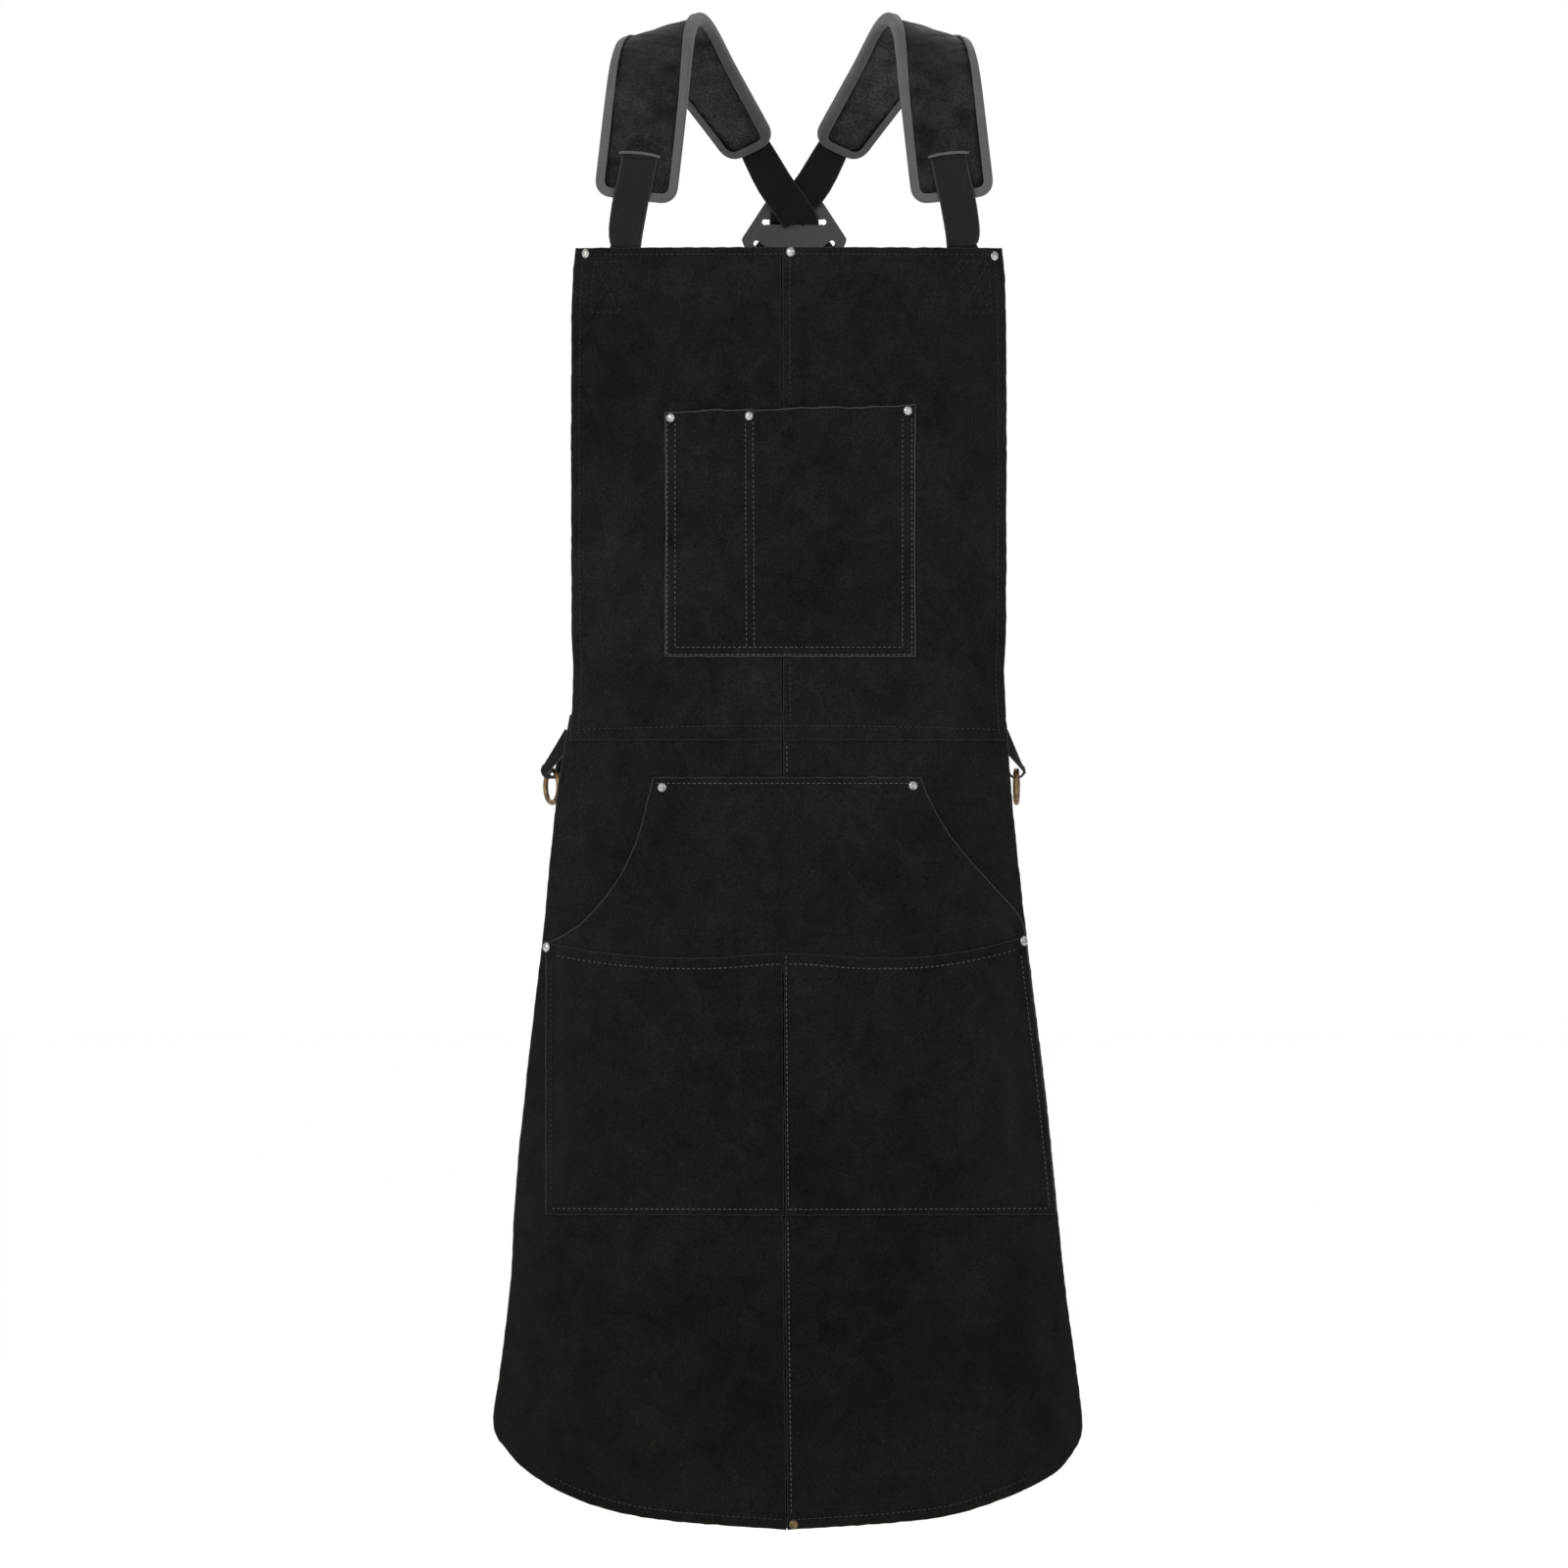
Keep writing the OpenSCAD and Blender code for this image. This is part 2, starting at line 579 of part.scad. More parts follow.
// The binding is a channel that runs all round the pad's edge.
module pad_binding(side) {
    st = pad_side(binding_t, side);
    last = len(st) - 1;
    ring = concat(
        [for (i = [0 : last]) [st[i][0] - ribbon_w(st, i) * st[i][2] / 2, ribbon_n(st, i)]],
        [for (i = [last : -1 : 0]) [st[i][0] + ribbon_w(st, i) * st[i][2] / 2, ribbon_n(st, i)]]);
    count = len(ring);
    section = [[-binding_w, binding_top + binding_t], [binding_t, binding_top + binding_t],
        [binding_t, binding_foot - binding_t], [-binding_w, binding_foot - binding_t],
        [-binding_w, binding_foot], [0, binding_foot], [0, binding_top], [-binding_w, binding_top]];
    pts = [for (i = [0 : count - 1])
        let(along = unit(ring[(i + 1) % count][0] - ring[(i + count - 1) % count][0]),
            out = unit(cross(ring[i][1], along)))
        for (q = section) ring[i][0] + q[0] * out + q[1] * ring[i][1]];
    color(grey_trim)
        polyhedron(points = pts, faces = [for (i = [0 : count - 1], k = [0 : 7])
            let(a = 8 * i + k, b = 8 * i + (k + 1) % 8, c = 8 * ((i + 1) % count) + k,
                d = 8 * ((i + 1) % count) + (k + 1) % 8)
            each k < 4 ? [[a, b, c], [b, d, c]] : [[a, d, c], [a, b, d]]]);
}

// ---------- webbing ----------

plate_y = 97;
slot_z = -163.1;
low_slot_at = [19.2, -190.2];
low_slot_angle = 37;

// A station on the inside of the bib at [x from the strap axis, z].
function inside_bib(x, z, side) =
    let(at = strap_x + side * x, r = wrap_radius(z) - 1.6, a = asin(at / r))
    [[at, wrap_y - r * cos(a), z], [cos(a), sin(a), 0], web_w];
function on_pad(p, n, side, lean = 0) =
    strap_station([pad_frame(p)[0] + n * pad_normal(p) + lean * pad_across(p), pad_across(p), web_w], side);

// From the pad's rear end across the middle, through the plate's wide slot, down its back and out
// through a slanted slot. The strap that crosses in front lies in the foot of the wide slot and next
// to the plate's back.
front_cross = [
    [[-17, 89.6, -130], [0.81, -0.1, 0.57]], [[-3.5, 92.2, -149], [0.87, 0, 0.46]],
    [[2.4, 93, -157.5], [0.96, 0, 0.25]], [[5, 93.7, -161.4], [0.99, 0, 0.08]],
    [[5.6, 94.6, -163.5], [1, 0, 0]], [[5.6, 96.2, -164.2], [1, 0, 0]],
    [[5.6, 98.3, -164.1], [1, 0, 0]], [[5.6, 99.8, -164.3], [1, 0, 0]],
    [[5.6, 100.6, -165.4], [1, 0, 0]], [[5.8, 100.7, -167.6], [0.98, 0, 0.18]],
    [[6.5, 100.7, -170.1], [0.91, 0, 0.42]], [[8.3, 100.7, -174], [0.87, 0, 0.5]],
    [[11.6, 100.7, -179.3], [0.84, 0, 0.54]], [[15.4, 100.7, -185], [0.82, 0, 0.56]],
    [[17.9, 100.9, -188.5], [0.8, 0, 0.6]], [[18.6, 100.2, -189.4], [0.81, 0, 0.58]],
    [[19.1, 98.7, -190.1], [0.81, 0, 0.58]], [[19.3, 96.9, -190.3], [0.81, 0, 0.58]],
    [[19.9, 95.6, -191.2], [0.81, 0, 0.58]]];
back_cross = [
    [[-17, 91.8, -130], [0.81, -0.1, 0.57]], [[-3.5, 94.7, -147], [0.87, 0, 0.46]],
    [[2.2, 95.6, -155], [0.96, 0, 0.25]], [[5, 95.7, -158.6], [0.99, 0, 0.08]],
    [[5.6, 96, -160.9], [1, 0, 0]], [[5.6, 97.2, -161.9], [1, 0, 0]],
    [[5.6, 98.6, -162.1], [1, 0, 0]], [[5.6, 100.4, -162.1], [1, 0, 0]],
    [[5.6, 101.9, -162.5], [1, 0, 0]], [[5.6, 102.9, -163.8], [1, 0, 0]],
    [[5.6, 103.1, -165.6], [1, 0, 0]], [[5.8, 103.1, -167.8], [0.98, 0, 0.18]],
    [[6.5, 103.1, -170.3], [0.91, 0, 0.42]], [[8.3, 103.1, -174.1], [0.87, 0, 0.5]],
    [[11.6, 103.1, -179.3], [0.84, 0, 0.54]], [[15.4, 102.8, -185], [0.82, 0, 0.56]],
    [[17.9, 101.6, -188.5], [0.8, 0, 0.6]], [[18.6, 100.5, -189.4], [0.81, 0, 0.58]],
    [[19.1, 98.9, -190.1], [0.81, 0, 0.58]], [[19.3, 96.9, -190.3], [0.81, 0, 0.58]],
    [[19.9, 95.6, -191.2], [0.81, 0, 0.58]]];

// The webbing leaves the pad's front end leaning outwards: [station, shift across the pad].
web_lean = [[0, -3.2], [1, -1.9], [2, -0.8], [2.6, -0.2]];

module shoulder_webbing(side, crossing) {
    inside = [inside_bib(-157, -245, side), inside_bib(-153, -228, side),
        inside_bib(-147.5, -208, side), inside_bib(-142.5, -192, side), inside_bib(-140.6, -186.5, side)];
    rise = [strap_station([[-140.2, -80.5, -172], [0.95, -0.28, -0.03], web_w], side)];
    over_front = [for (s = web_lean) on_pad(s[0], web_over_n, side, s[1])];
    under_at = concat([3.4], [for (i = [4 : pad_last - 3]) i]);
    within = [for (p = under_at) on_pad(p, web_n, side)];
    over_rear = [for (p = [pad_last - 2.1, pad_last - 1, pad_last]) on_pad(p, web_over_n, side)];
    color(black_web)
        ribbon(concat(inside, rise, over_front, within, over_rear,
            [for (s = crossing) strap_station([s[0], s[1], web_w], side)]), web_t);
}

module cross_plate() {
    shape = [[25.5, -146], [43.7, -178], [39, -190], [13, -222]];
    color(plate_grey)
        translate([strap_x, plate_y + plate_t, 0])
            rotate([90, 0, 0])
                linear_extrude(height = plate_t)
                    difference() {
                        hull()
                            for (p = shape, s = [-1, 1])
                                translate([s * (p[0] - 4), p[1] + (p[1] > -160 ? -4 : p[1] < -200 ? 4 : 0)])
                                    circle(r = 4, $fn = 32);
                        slot_2d([-24.5, slot_z], [24.5, slot_z]);
                        for (s = [-1, 1])
                            slot_2d(low_slot_end(s, 15.5), low_slot_end(s, -15.5));
                    }
}

function low_slot_end(s, d) = [s * (low_slot_at[0] + d * cos(low_slot_angle)),
    low_slot_at[1] + d * sin(low_slot_angle)];

module slot_2d(a, b) {
    v = b - a;
    translate(a)
        rotate(atan2(v[1], v[0]))
            translate([0, -slot_w / 2])
                square([norm(v), slot_w]);
    for (p = [a, b])
        translate(p)
            circle(d = slot_w + 0.6, $fn = 32);
}

// The lower strap hangs from the slanted slot, turns round the hook's eye and runs back up
// through the slide.
hang_x = 58.5;
hang_y = 95;
bar_r = 1.75;
bar_z = -640;
turn_r = bar_r + 0.3 + web_t / 2;
bar_y = hang_y - turn_r;
back_y = hang_y - 3.2;
tail_z = -545;
hang_line = [
    [[20.3, 95.2, -191.9], [0.81, 0, 0.58]], [[22.6, 94.8, -195], [0.81, 0, 0.57]],
    [[29, 94.2, -204.5], [0.85, 0, 0.5]], [[39, 93.6, -224], [0.92, 0, 0.38]],
    [[48, 93.2, -252], [0.97, 0, 0.25]], [[54, 93.6, -290], [0.99, 0, 0.13]],
    [[57.3, 94.4, -335], [1, 0, 0.05]], [[hang_x, hang_y, -385], [1, 0, 0]],
    [[hang_x, hang_y, -420], [1, 0, 0]], [[hang_x, hang_y, -520], [1, 0, 0]],
    [[hang_x, hang_y, -634], [1, 0, 0]]];

module lower_strap(side) {
    turn = [for (a = [0 : 30 : 180])
        [[hang_x, bar_y + turn_r * cos(a), bar_z - turn_r * sin(a)], [1, 0, 0]]];
    tail = [[[hang_x, bar_y - turn_r, bar_z + 2], [1, 0, 0]], [[hang_x, back_y, bar_z + 14], [1, 0, 0]],
        [[hang_x, back_y, bar_z + 18], [1, 0, 0]], [[hang_x, back_y, tail_z], [1, 0, 0]]];
    color(black_web)
        ribbon([for (s = concat(hang_line, turn, tail)) strap_station([s[0], s[1], web_w], side)], web_t);
}

// A keeper that slides on the doubled webbing, with a bar between its two layers.
slide_z = -575;
slide_h = 9;
slide_wall = 1.8;
module strap_slide(side) {
    gap = 0.35;
    inner_w = web_w + 1.6;
    inner_d = hang_y - back_y + web_t + 2 * gap;
    mid_y = (hang_y + back_y) / 2;
    color(plate_grey)
        translate([strap_x + side * hang_x, mid_y, slide_z])
            difference() {
                cube([inner_w + 2 * slide_wall, inner_d + 2 * slide_wall, slide_h], center = true);
                for (s = [-1, 1])
                    translate([0, s * (inner_d / 4 + 0.25), 0])
                        cube([inner_w, inner_d / 2 - 0.5, slide_h + 2], center = true);
            }
}

// ---------- snap hooks ----------

eye_w = web_w + 5;
post_r = 2.5;
boss_top = -11.2;
boss_foot = -18;
arch_top = boss_foot - 5.2;
arch_r = 8;
bar_radius = hook_bar / 2;
corner_ball = bar_r + 0.12;
spine_l = 20;
nose_l = 5;
gate_y = 1.1;

// Puts a hook's pieces at the end of a lower strap; local origin is the eye's bar.
module at_hook(side) {
    translate([strap_x + side * hang_x, bar_y, bar_z])
        mirror([side < 0 ? 1 : 0, 0, 0])
            children();
}

module round_bar(a, b, r) {
    v = b - a;
    translate(a)
        rotate([0, acos(v[2] / norm(v)), atan2(v[1], v[0])])
            cylinder(h = norm(v), r = r, $fn = 32);
}

module hook_eye(side) {
    half = eye_w / 2;
    foot = (boss_top + boss_foot) / 2;
    color(silver)
        at_hook(side)
            difference() {
                union() {
                    round_bar([-half, 0, 0], [half, 0, 0], bar_r);
                    for (s = [-1, 1]) {
                        round_bar([s * half, 0, 0], [s * half, 0, foot + 4], bar_r);
                        round_bar([s * half, 0, foot + 4], [0, 0, foot], bar_r);
                        translate([s * half, 0, 0])
                            sphere(r = corner_ball, $fn = 32);
                        translate([s * half, 0, foot + 4])
                            sphere(r = corner_ball, $fn = 32);
                    }
                    translate([0, 0, boss_foot])
                        cylinder(h = boss_top - boss_foot, r = 5, $fn = 48);
                }
                translate([0, 0, boss_foot - 1])
                    cylinder(h = boss_top - boss_foot + 3, r = post_r + swivel_gap, $fn = 48);
            }
}

// An arc of the hook's bar in the XZ plane, about [0, 0, z], from the angle a0 over sweep degrees.
module bar_arc(z, a0, sweep) {
    translate([0, 0, z])
        rotate([90, 0, 0])
            rotate([0, 0, a0])
                rotate_extrude(angle = sweep, $fn = 64)
                    translate([arch_r, 0])
                        circle(r = bar_radius, $fn = 32);
}

gate_pivot = [-arch_r, 0, arch_top - arch_r - bar_radius];
module hook_body(side) {
    top_c = arch_top - arch_r - bar_radius;
    foot_c = top_c - spine_l;
    color(silver)
        at_hook(side) {
            difference() {
                union() {
                    translate([0, 0, boss_top + 0.2])
                        cylinder(h = 1.8, r = 4.2, $fn = 48);
                    translate([0, 0, arch_top - 1])
                        cylinder(h = boss_top + 2 - arch_top, r = post_r, $fn = 48);
                    translate([0, 0, arch_top - 1])
                        cylinder(h = boss_foot - 0.2 - arch_top + 1, r = 5, $fn = 48);
                    bar_arc(top_c, 0, 132);
                    round_bar([arch_r, 0, foot_c], [arch_r, 0, top_c], bar_radius);
                    bar_arc(foot_c, 180, 180);
                    round_bar([-arch_r, 0, foot_c], [-arch_r, 0, foot_c + nose_l], bar_radius);
                    translate([-arch_r, 0, foot_c + nose_l])
                        sphere(r = bar_radius, $fn = 32);
                    translate([0, gate_y, 0])
                        rotate([90, 0, 0])
                            linear_extrude(height = 2 * gate_y)
                                hull() {
                                    translate([gate_pivot[0], gate_pivot[2]])
                                        circle(r = bar_radius, $fn = 32);
                                    translate([arch_r * cos(130), top_c + arch_r * sin(130)])
                                        circle(r = 2, $fn = 32);
                                }
                }
                translate(gate_pivot)
                    rotate([90, 0, 0])
                        cylinder(h = 8, r = 0.8, center = true, $fn = 32);
            }
        }
}

gate_l = spine_l - nose_l - bar_radius - 0.5;
module hook_gate(side) {
    cheek_t = 0.9;
    cheek_y = gate_y + 1.1;
    color(silver)
        at_hook(side)
            translate(gate_pivot)
                difference() {
                    union() {
                        translate([0, 0, -gate_l])
                            cylinder(h = gate_l - 3.1, r = 2.1, $fn = 32);
                        for (s = [-1, 1])
                            translate([0, s * (cheek_y + cheek_t / 2), 0])
                                rotate([90, 0, 0])
                                    linear_extrude(height = cheek_t, center = true) {
                                        circle(r = 2.3, $fn = 32);
                                        translate([-1.6, -5])
                                            square([3.2, 5]);
                                    }
                        translate([-1.6, -cheek_y - cheek_t, -5])
                            cube([3.2, 2 * (cheek_y + cheek_t), 1.7]);
                    }
                    rotate([90, 0, 0])
                        cylinder(h = 10, r = 0.86, center = true, $fn = 32);
                }
}

module gate_pin(side) {
    color(silver)
        at_hook(side)
            translate(gate_pivot)
                rotate([90, 0, 0])
                    cylinder(h = 6.4, r = 0.8, center = true, $fn = 32);
}

// Two turns round the pin beside the tongue, with a leg up the tongue and one to the gate.
module gate_spring(side) {
    wire = 0.22;
    color(silver)
        at_hook(side)
            translate(gate_pivot) {
                for (k = [0, 1])
                    translate([0, gate_y + 0.34 + 0.4 * k, 0])
                        rotate([90, 0, 0])
                            rotate_extrude($fn = 32)
                                translate([1.25, 0])
                                    circle(r = 0.24, $fn = 16);
                translate([1.25, gate_y + 0.34, 0])
                    cylinder(h = 2.5, r = wire, $fn = 16);
                translate([1.25, gate_y + 0.74, -2.8])
                    cylinder(h = 2.8, r = wire, $fn = 16);
            }
}

bib_left();
bib_right();
skirt_left();
skirt_right();
bib_pocket();
hand_pocket();
lap_panel_left();
lap_panel_right();
bib_rivets();
bib_rivet_backs();
pocket_rivets();
pocket_rivet_backs();
hand_pocket_rivets();
hand_pocket_rivet_backs();
hem_rivet();
hem_rivet_back();
ring_loop(0);  // ring_loop_left
ring_loop(1);  // ring_loop_right
waist_ring(0);  // ring_left
waist_ring(1);  // ring_right
shoulder_webbing(1, front_cross);  // shoulder_webbing_left
shoulder_webbing(-1, back_cross);  // shoulder_webbing_right
pad_cover(1);  // pad_cover_left
pad_cover(-1);  // pad_cover_right
pad_foam(1);  // pad_foam_left
pad_foam(-1);  // pad_foam_right
pad_lining(1);  // pad_lining_left
pad_lining(-1);  // pad_lining_right
pad_binding(1);  // pad_binding_left
pad_binding(-1);  // pad_binding_right
cross_plate();
lower_strap(-1);  // lower_strap_left
lower_strap(1);  // lower_strap_right
strap_slide(-1);  // strap_slide_left
strap_slide(1);  // strap_slide_right
hook_eye(-1);  // hook_eye_left
hook_eye(1);  // hook_eye_right
hook_body(-1);  // hook_body_left
hook_body(1);  // hook_body_right
hook_gate(-1);  // hook_gate_left
hook_gate(1);  // hook_gate_right
gate_pin(-1);  // gate_pin_left
gate_pin(1);  // gate_pin_right
gate_spring(-1);  // gate_spring_left
gate_spring(1);  // gate_spring_right
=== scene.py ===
"""Welding apron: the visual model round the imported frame.

Lengths in this script are millimetres in the frame's own axes (X across the wearer, the front
facing -Y, +Z up) until a mesh is made, which is in metres. The leather is laid on the same cone
as the CAD panels: its axis is vertical at y = WRAP_Y and its radius grows downwards.
"""
import math
import random

import bmesh
import bpy
import numpy as np
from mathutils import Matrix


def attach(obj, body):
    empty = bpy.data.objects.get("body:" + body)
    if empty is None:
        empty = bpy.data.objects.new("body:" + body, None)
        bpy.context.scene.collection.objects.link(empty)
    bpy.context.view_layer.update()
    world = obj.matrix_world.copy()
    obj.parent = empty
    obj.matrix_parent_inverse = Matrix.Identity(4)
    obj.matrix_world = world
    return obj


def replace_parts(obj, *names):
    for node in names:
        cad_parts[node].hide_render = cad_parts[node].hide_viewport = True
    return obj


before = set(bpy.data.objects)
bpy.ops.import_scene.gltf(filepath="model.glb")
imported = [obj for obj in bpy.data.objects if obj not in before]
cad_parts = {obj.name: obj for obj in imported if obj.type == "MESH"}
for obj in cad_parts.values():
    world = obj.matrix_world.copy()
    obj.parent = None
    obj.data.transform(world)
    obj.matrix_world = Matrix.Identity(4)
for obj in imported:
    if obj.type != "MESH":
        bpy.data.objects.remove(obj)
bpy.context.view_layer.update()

MM = 0.001
ROOT = "root"

# ---------- sizes shared with the CAD ----------
WRAP_Y = 130.0
WRAP_R = 250.0
FLARE = 0.05
LEATHER_T = 1.4
PITCH = 1.6
BIB_TOP = -186.0
WAIST = -597.0
SKIRT_TOP = -575.0
HEM = -1253.0
STRAP_X = 4.5
WEB_W = 30.0
WEB_T = 1.4

BIB_EDGE = [(178, BIB_TOP), (181.5, -246), (181.5, -480), (180, -545), (183, WAIST)]
SKIRT_SIDE_LEFT = [(-182.5, SKIRT_TOP), (-187, -600), (-195, -653), (-205, -756), (-219, -878),
                   (-228, -970), (-232.5, -1050), (-241, -1120), (-247, -1163), (-242, -1180)]
SKIRT_HEM_LEFT = [(-242, -1180), (-219, -1205), (-175, -1229), (-111, -1244.5), (-1.8, HEM)]
SKIRT_SIDE_RIGHT = [(181.5, SKIRT_TOP), (183, -600), (187, -653), (198, -756), (213, -878),
                    (222.5, -970), (230.5, -1050), (240, -1120), (245, -1166), (241, -1184)]
SKIRT_HEM_RIGHT = [(241, -1184), (222, -1207), (176, -1229), (116, -1244.5), (-1.5, HEM)]
BIB_SEAM = np.array([(-5.7, BIB_TOP), (-5, WAIST)])
SKIRT_SEAM = np.array([(-5, SKIRT_TOP), (-4, -970), (-1.5, HEM)])
LAP_W = 12.0

BIB_RIVETS = [(-168.5, -191), (1.5, -190.5), (170.5, -193)]
POCKET_RIVETS = [(-97.5, -328.5), (-33, -327), (98, -322.5)]
HAND_RIVETS = [(-105, -636), (103, -634.5), (-199.5, -769), (193.5, -764)]
HEM_RIVET = [(4, HEM + 5)]

POCKET_LEFT, POCKET_RIGHT, POCKET_FOOT = -103.5, 106.0, -527.5
POCKET_SEAMS = (-97.5, -33.0, 98.0)
SEAM_FLAT = 5.0
POCKET_GAP = 10.0
HAND_GAP = 13.0
HAND_TOP, HAND_LOW = -627.0, -790.0
LAP_MID, LAP_FOOT, LAP_LEFT = -777.0, -992.0, -203.0
MOUTH_LEFT = [(-113, HAND_TOP), (-116.5, -640), (-125.5, -675), (-137, -702), (-152, -725),
              (-175, -750), (LAP_LEFT, -766), (LAP_LEFT, HAND_LOW)]
MOUTH_RIGHT = [(110.5, HAND_TOP), (112, -633), (128, -665), (144.5, -688), (168, -715),
               (190, -739), (197, -756), (201.2, HAND_LOW)]
BAG_MID, BAG_LEFT, BAG_RIGHT, BAG_LIFT = -5.0, -194.0, 188.0, 0.2
LAP_LIFT = PITCH + 0.3
RING_TOPS = [(-181, -592), (177, -592)]


def ease(t):
    t = np.clip(t, 0.0, 1.0)
    return t * t * (3 - 2 * t)


def mix(a, b, t):
    return a + (b - a) * t


def unit(v):
    v = np.asarray(v, float)
    return v / np.linalg.norm(v, axis=-1, keepdims=True)


# ---------- smooth fields for drape and wrinkles ----------
def waves(seed, shortest, longest, count):
    """Sine waves in random directions, as rows of (kx, kz, phase)."""
    rng = random.Random(seed)
    rows = []
    for _ in range(count):
        turn = rng.uniform(0, math.tau)
        k = math.tau / rng.uniform(shortest, longest)
        rows.append((k * math.cos(turn), k * math.sin(turn), rng.uniform(0, math.tau)))
    return rows


def field(rows, x, z):
    """The waves' sum at x, z, about 1 high."""
    total = 0.0
    for kx, kz, phase in rows:
        total = total + np.sin(kx * x + kz * z + phase)
    return total / math.sqrt(len(rows))


BROAD = waves(3, 150, 380, 7)
SMALL = waves(5, 34, 90, 14)
FINE = waves(7, 11, 26, 16)
RAGGED = waves(11, 5, 22, 10)
CREASES = waves(21, 9, 30, 14)
FIXED = np.array(BIB_RIVETS + POCKET_RIVETS + HAND_RIVETS + HEM_RIVET + RING_TOPS, float)
HELD_R = 18.0


def calm(x, z):
    """0 where a rivet or ring loop holds the leather to its CAD place, 1 away from them."""
    keep = np.ones(np.broadcast(x, z).shape)
    for fx, fz in FIXED:
        keep = keep * (1 - np.exp(-((x - fx) ** 2 + (z - fz) ** 2) / HELD_R ** 2))
    return keep


def drape(x, z):
    """How far the hanging leather stands off the cone."""
    low = ease((-640 - z) / 560)
    folds = low * 3.2 * np.sin(x / 34 + 1.1 + 0.7 * np.sin(z / 150))
    ripple = 0.9 * field(BROAD, x, z) + 0.42 * field(SMALL, x, z) + 0.11 * field(FINE, x, z)
    return (ripple * (1 + 0.9 * low) + folds) * calm(x, z)


def wrap_radius(z):
    return WRAP_R + (BIB_TOP - z) * FLARE


def wrap_point(x, z, off):
    """The point of the draped wrap at x, z, lying off outside the cone."""
    x, z, off = np.broadcast_arrays(np.asarray(x, float), np.asarray(z, float), np.asarray(off, float))
    r = wrap_radius(z) + off + drape(x, z)
    return np.stack([x, WRAP_Y - np.sqrt(r * r - x * x), z], -1)


# ---------- each layer's inner face, as an offset from the wrap ----------
def hump(x, seam_a, seam_b):
    """How far a pocket bulges between two seams, 0 at them and 1 in the middle."""
    a, b = seam_a + SEAM_FLAT, seam_b - SEAM_FLAT
    return np.sin(np.pi * np.clip((x - a) / (b - a), 0, 1)) ** 0.6


def pocket_top(x):
    return mix(-323, -317.5, (x - POCKET_LEFT) / (POCKET_RIGHT - POCKET_LEFT))


def pocket_off(x, z):
    v = np.clip((pocket_top(x) - z) / (pocket_top(x) - POCKET_FOOT) / 0.94, 0, 1)
    left, mid, right = POCKET_SEAMS
    return PITCH + POCKET_GAP * (1 - v) ** 0.55 * (0.8 * hump(x, left, mid) + hump(x, mid, right))


def hand_off(x, z):
    opened = ease((-636 - z) / 70) * ease((z + 984) / 150)
    sewn = ease((-684 - z) / 74)
    half = (x - BAG_MID) / (np.where(np.asarray(x) < BAG_MID, BAG_LEFT, BAG_RIGHT) - BAG_MID)
    side = np.sin(np.pi * np.clip(half, 0, 1)) ** 0.5
    return BAG_LIFT + HAND_GAP * opened * mix(1, side, sewn)


def lap_top(x):
    """Height of the lap panels' upper edge."""
    x = np.asarray(x, float)
    return (LAP_MID + 4 * (1 - ease(np.abs(x) / 70))
            + np.where(x < 0, 12, 19) * np.clip((np.abs(x) - 85) / 115, 0, 1) ** 2)


def lap_off(x, z):
    return hand_off(x, z) + LAP_LIFT * (1 - ease((HAND_LOW - 3 - z) / 14))


def level(off):
    return lambda x, z: off + 0 * x


bib_off, skirt_off = level(0.0), level(-PITCH)


# ---------- curves ----------
def smooth_line(points, steps=6):
    """The CAD's smooth curve through the points."""
    p = [np.asarray(q, float) for q in points]
    out = []
    for i in range(len(p) - 1):
        a, b, c, d = p[max(i - 1, 0)], p[i], p[i + 1], p[min(i + 2, len(p) - 1)]
        for k in range(steps):
            t = k / steps
            out.append(0.5 * (2 * b + (c - a) * t + (2 * a - 5 * b + 4 * c - d) * t * t
                              + (3 * b - a - 3 * c + d) * t ** 3))
    return np.array(out + [p[-1]])


def walk(line):
    """Distance along a line at each of its points."""
    steps = np.linalg.norm(np.diff(line, axis=0), axis=1)
    return np.concatenate([[0], np.cumsum(steps)])


def resample(line, at):
    """Points at the given fractions of a line's length."""
    line = np.asarray(line, float)
    s = walk(line)
    want = s[-1] * np.asarray(at)
    return np.stack([np.interp(want, s, line[:, k]) for k in range(line.shape[1])], -1)


def coons(top, bottom, left, right, cell):
    """A grid of [x, z] between four boundary lines; top and bottom run left to right."""
    def share(a, b):
        length = max(walk(np.asarray(a, float))[-1], walk(np.asarray(b, float))[-1])
        return np.linspace(0, 1, max(2, int(round(length / cell))) + 1)

    u, v = share(top, bottom), share(left, right)
    t, b, l, r = resample(top, u), resample(bottom, u), resample(left, v), resample(right, v)
    u, v = u[None, :, None], v[:, None, None]
    flat = (1 - v) * t[None] + v * b[None] + (1 - u) * l[:, None] + u * r[:, None]
    return flat - ((1 - u) * (1 - v) * t[0] + u * (1 - v) * t[-1] + (1 - u) * v * b[0] + u * v * b[-1])


def between(left, right, cell=4.5):
    """A grid between two downward lines."""
    left, right = np.asarray(left, float), np.asarray(right, float)
    return coons([left[0], right[0]], [left[-1], right[-1]], left, right, cell)


def at_z(line, z):
    """x of a downward line at the height z."""
    line = np.asarray(line, float)
    return np.interp(-np.asarray(z, float), -line[:, 1], line[:, 0])


def clip_line(line, high, low):
    """The part of a downward line between two heights."""
    line = np.asarray(line, float)
    keep = line[(line[:, 1] < high) & (line[:, 1] > low)]
    return np.concatenate([[(at_z(line, high), high)], keep, [(at_z(line, low), low)]])


